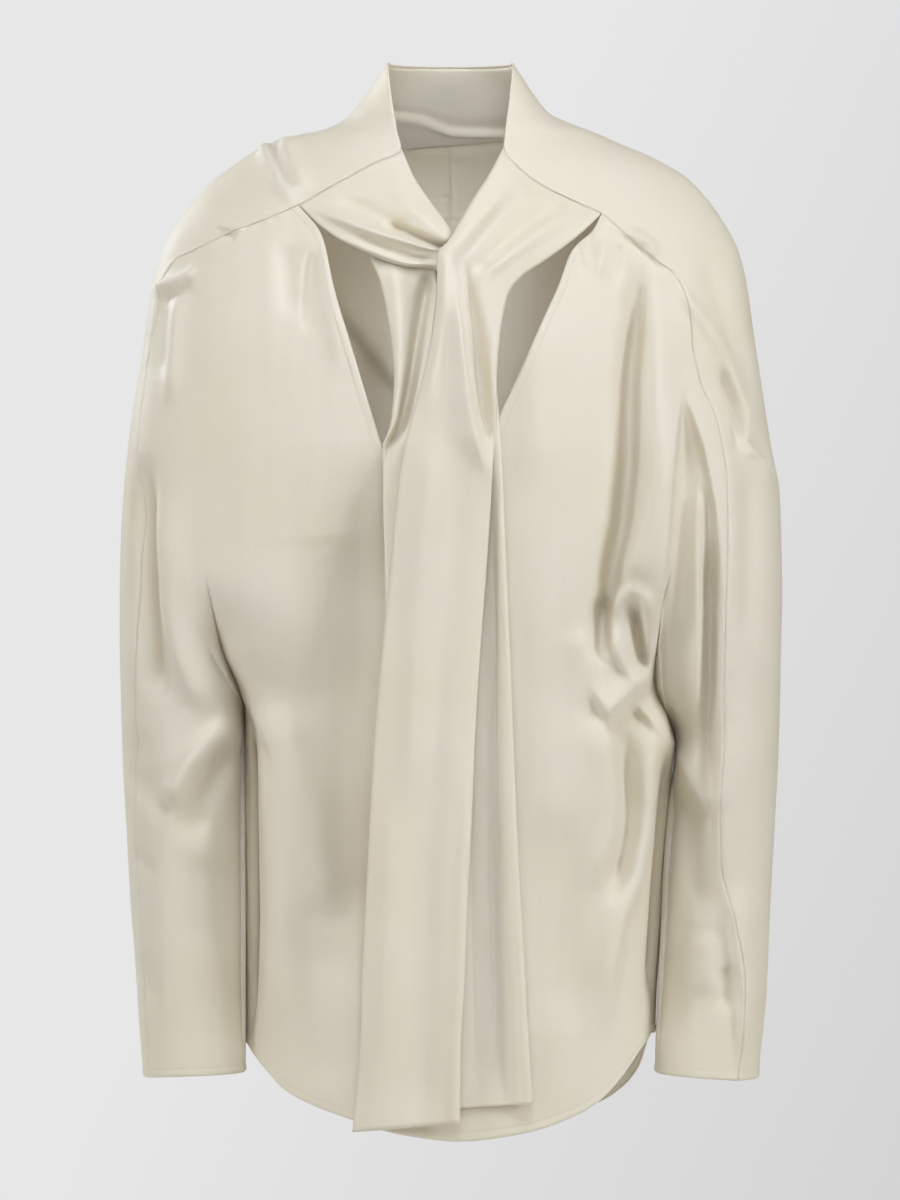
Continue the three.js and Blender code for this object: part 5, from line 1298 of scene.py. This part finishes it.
# Studio paper is uncoated and rolled smooth: to the eye it is an even, pale, matt tone.
def studio_floor():
    turns = np.linspace(0, 2 * np.pi, 97)[:-1]
    rim = [(FLOOR_REACH * math.cos(turn), FLOOR_REACH * math.sin(turn), FLOOR_Z) for turn in turns]
    mesh = bpy.data.meshes.new("studio_floor")
    mesh.from_pydata(rim, [], [tuple(range(len(rim)))])
    obj = bpy.data.objects.new("studio_floor", mesh)
    scene.collection.objects.link(obj)
    paper = bpy.data.materials.new("pale_matt_paper")
    tree = emptied(paper)
    place = add(tree, "ShaderNodeTexCoord")
    fibre = add(tree, "ShaderNodeTexNoise", {"Vector": place.outputs["Object"]},
                in_Scale=1 / FLOOR_CLOUD, in_Detail=3.0)
    tone = set_ramp(add(tree, "ShaderNodeValToRGB", {"Fac": fibre.outputs["Fac"]}), "#e6e6e6", "#efefef")
    shader = add(tree, "ShaderNodeBsdfPrincipled", {"Base Color": tone.outputs["Color"]}, in_Roughness=0.9)
    add(tree, "ShaderNodeOutputMaterial", {"Surface": shader.outputs[0]})
    mesh.materials.append(paper)


studio_floor()
print("floor", FLOOR_REACH, "m round at", FLOOR_Z)

# %% [markdown]
# Two wide softboxes stand to the sides, the stronger one at the wearer's left, so the outsides of the
# sleeves are bright and the folds between them and the body fall into shade. Others fill from the
# front, from above and from behind. The inside of such a photograph is often a shot of its own with its
# own light, which here sits behind the tie and faces the back.

# %% The lights
MIDDLE = (0, 0, -0.35)


def softbox(name, place, aim, size, power, tint):
    data = bpy.data.lights.new(name, "AREA")
    data.shape = "RECTANGLE"
    data.size, data.size_y = size
    data.energy = power
    data.color = linear(tint)[:3]
    obj = bpy.data.objects.new(name, data)
    scene.collection.objects.link(obj)
    obj.location = place
    way = np.array(place) - np.array(aim)
    flat = math.hypot(way[0], way[1])
    obj.rotation_euler = (math.atan2(flat, way[2]), 0, math.atan2(way[0], -way[1]))


softbox("wearers_left", (3.7, -2.0, 0.8), MIDDLE, (1.3, 1.8), 79, "#f3f7ff")
softbox("wearers_right", (-3.7, -2.2, 0.9), MIDDLE, (1.3, 1.8), 52, "#f3f7ff")
softbox("front", (0.4, -4.4, 0.9), MIDDLE, (1.4, 1.4), 11, "#f3f7ff")
softbox("top", (0.0, -1.8, 2.6), (0, 0, -0.3), (1.6, 1.2), 37, "#f1f6ff")
softbox("neck", (0.0, -1.1, 0.55), (0, 0.06, -0.02), (0.35, 0.35), 4.2, "#e6efff")
softbox("behind", (-2.3, 2.4, 1.0), (0, 0, -0.3), (1.2, 1.6), 58, "#eef4ff")
softbox("inside", (0.0, -0.03, -0.15), (0, 0.08, -0.13), (0.05, 0.14), 0.055, "#f0f3ff")

# %% [markdown]
# The room has two backgrounds. The camera sees an even pale one, a little darker to the right and
# below, and a weak warm one lights the shade in the folds. With one background for both, either the
# backdrop would be too dark or the shade too pale. The tone follows a direction of the room, so it
# stays where it is when the camera moves.

# %% The room
def studio_room():
    world = bpy.data.worlds.new("studio")
    scene.world = world
    tree = emptied(world)
    place = add(tree, "ShaderNodeTexCoord")
    turned = add(tree, "ShaderNodeMapping", {"Vector": place.outputs["Generated"]},
                 in_Rotation=(0, -0.44, 0))
    parts = add(tree, "ShaderNodeSeparateXYZ", {"Vector": turned.outputs[0]})
    spread = add(tree, "ShaderNodeMapRange", {"Value": parts.outputs["X"]},
                 in_From_Min=-0.01, in_From_Max=0.062)
    tone = set_ramp(add(tree, "ShaderNodeValToRGB", {"Fac": spread.outputs[0]}), "#e7e7e7", "#d4d4d4")
    seen = add(tree, "ShaderNodeBackground", {"Color": tone.outputs["Color"]}, in_Strength=1.0)
    fill = add(tree, "ShaderNodeBackground", in_Color=linear("#f0dca8"), in_Strength=0.22)
    ray = add(tree, "ShaderNodeLightPath").outputs["Is Camera Ray"]
    both = add(tree, "ShaderNodeMixShader", {0: ray, 1: fill.outputs[0], 2: seen.outputs[0]})
    add(tree, "ShaderNodeOutputWorld", {"Surface": both.outputs[0]})


studio_room()
print("room", scene.world.name)
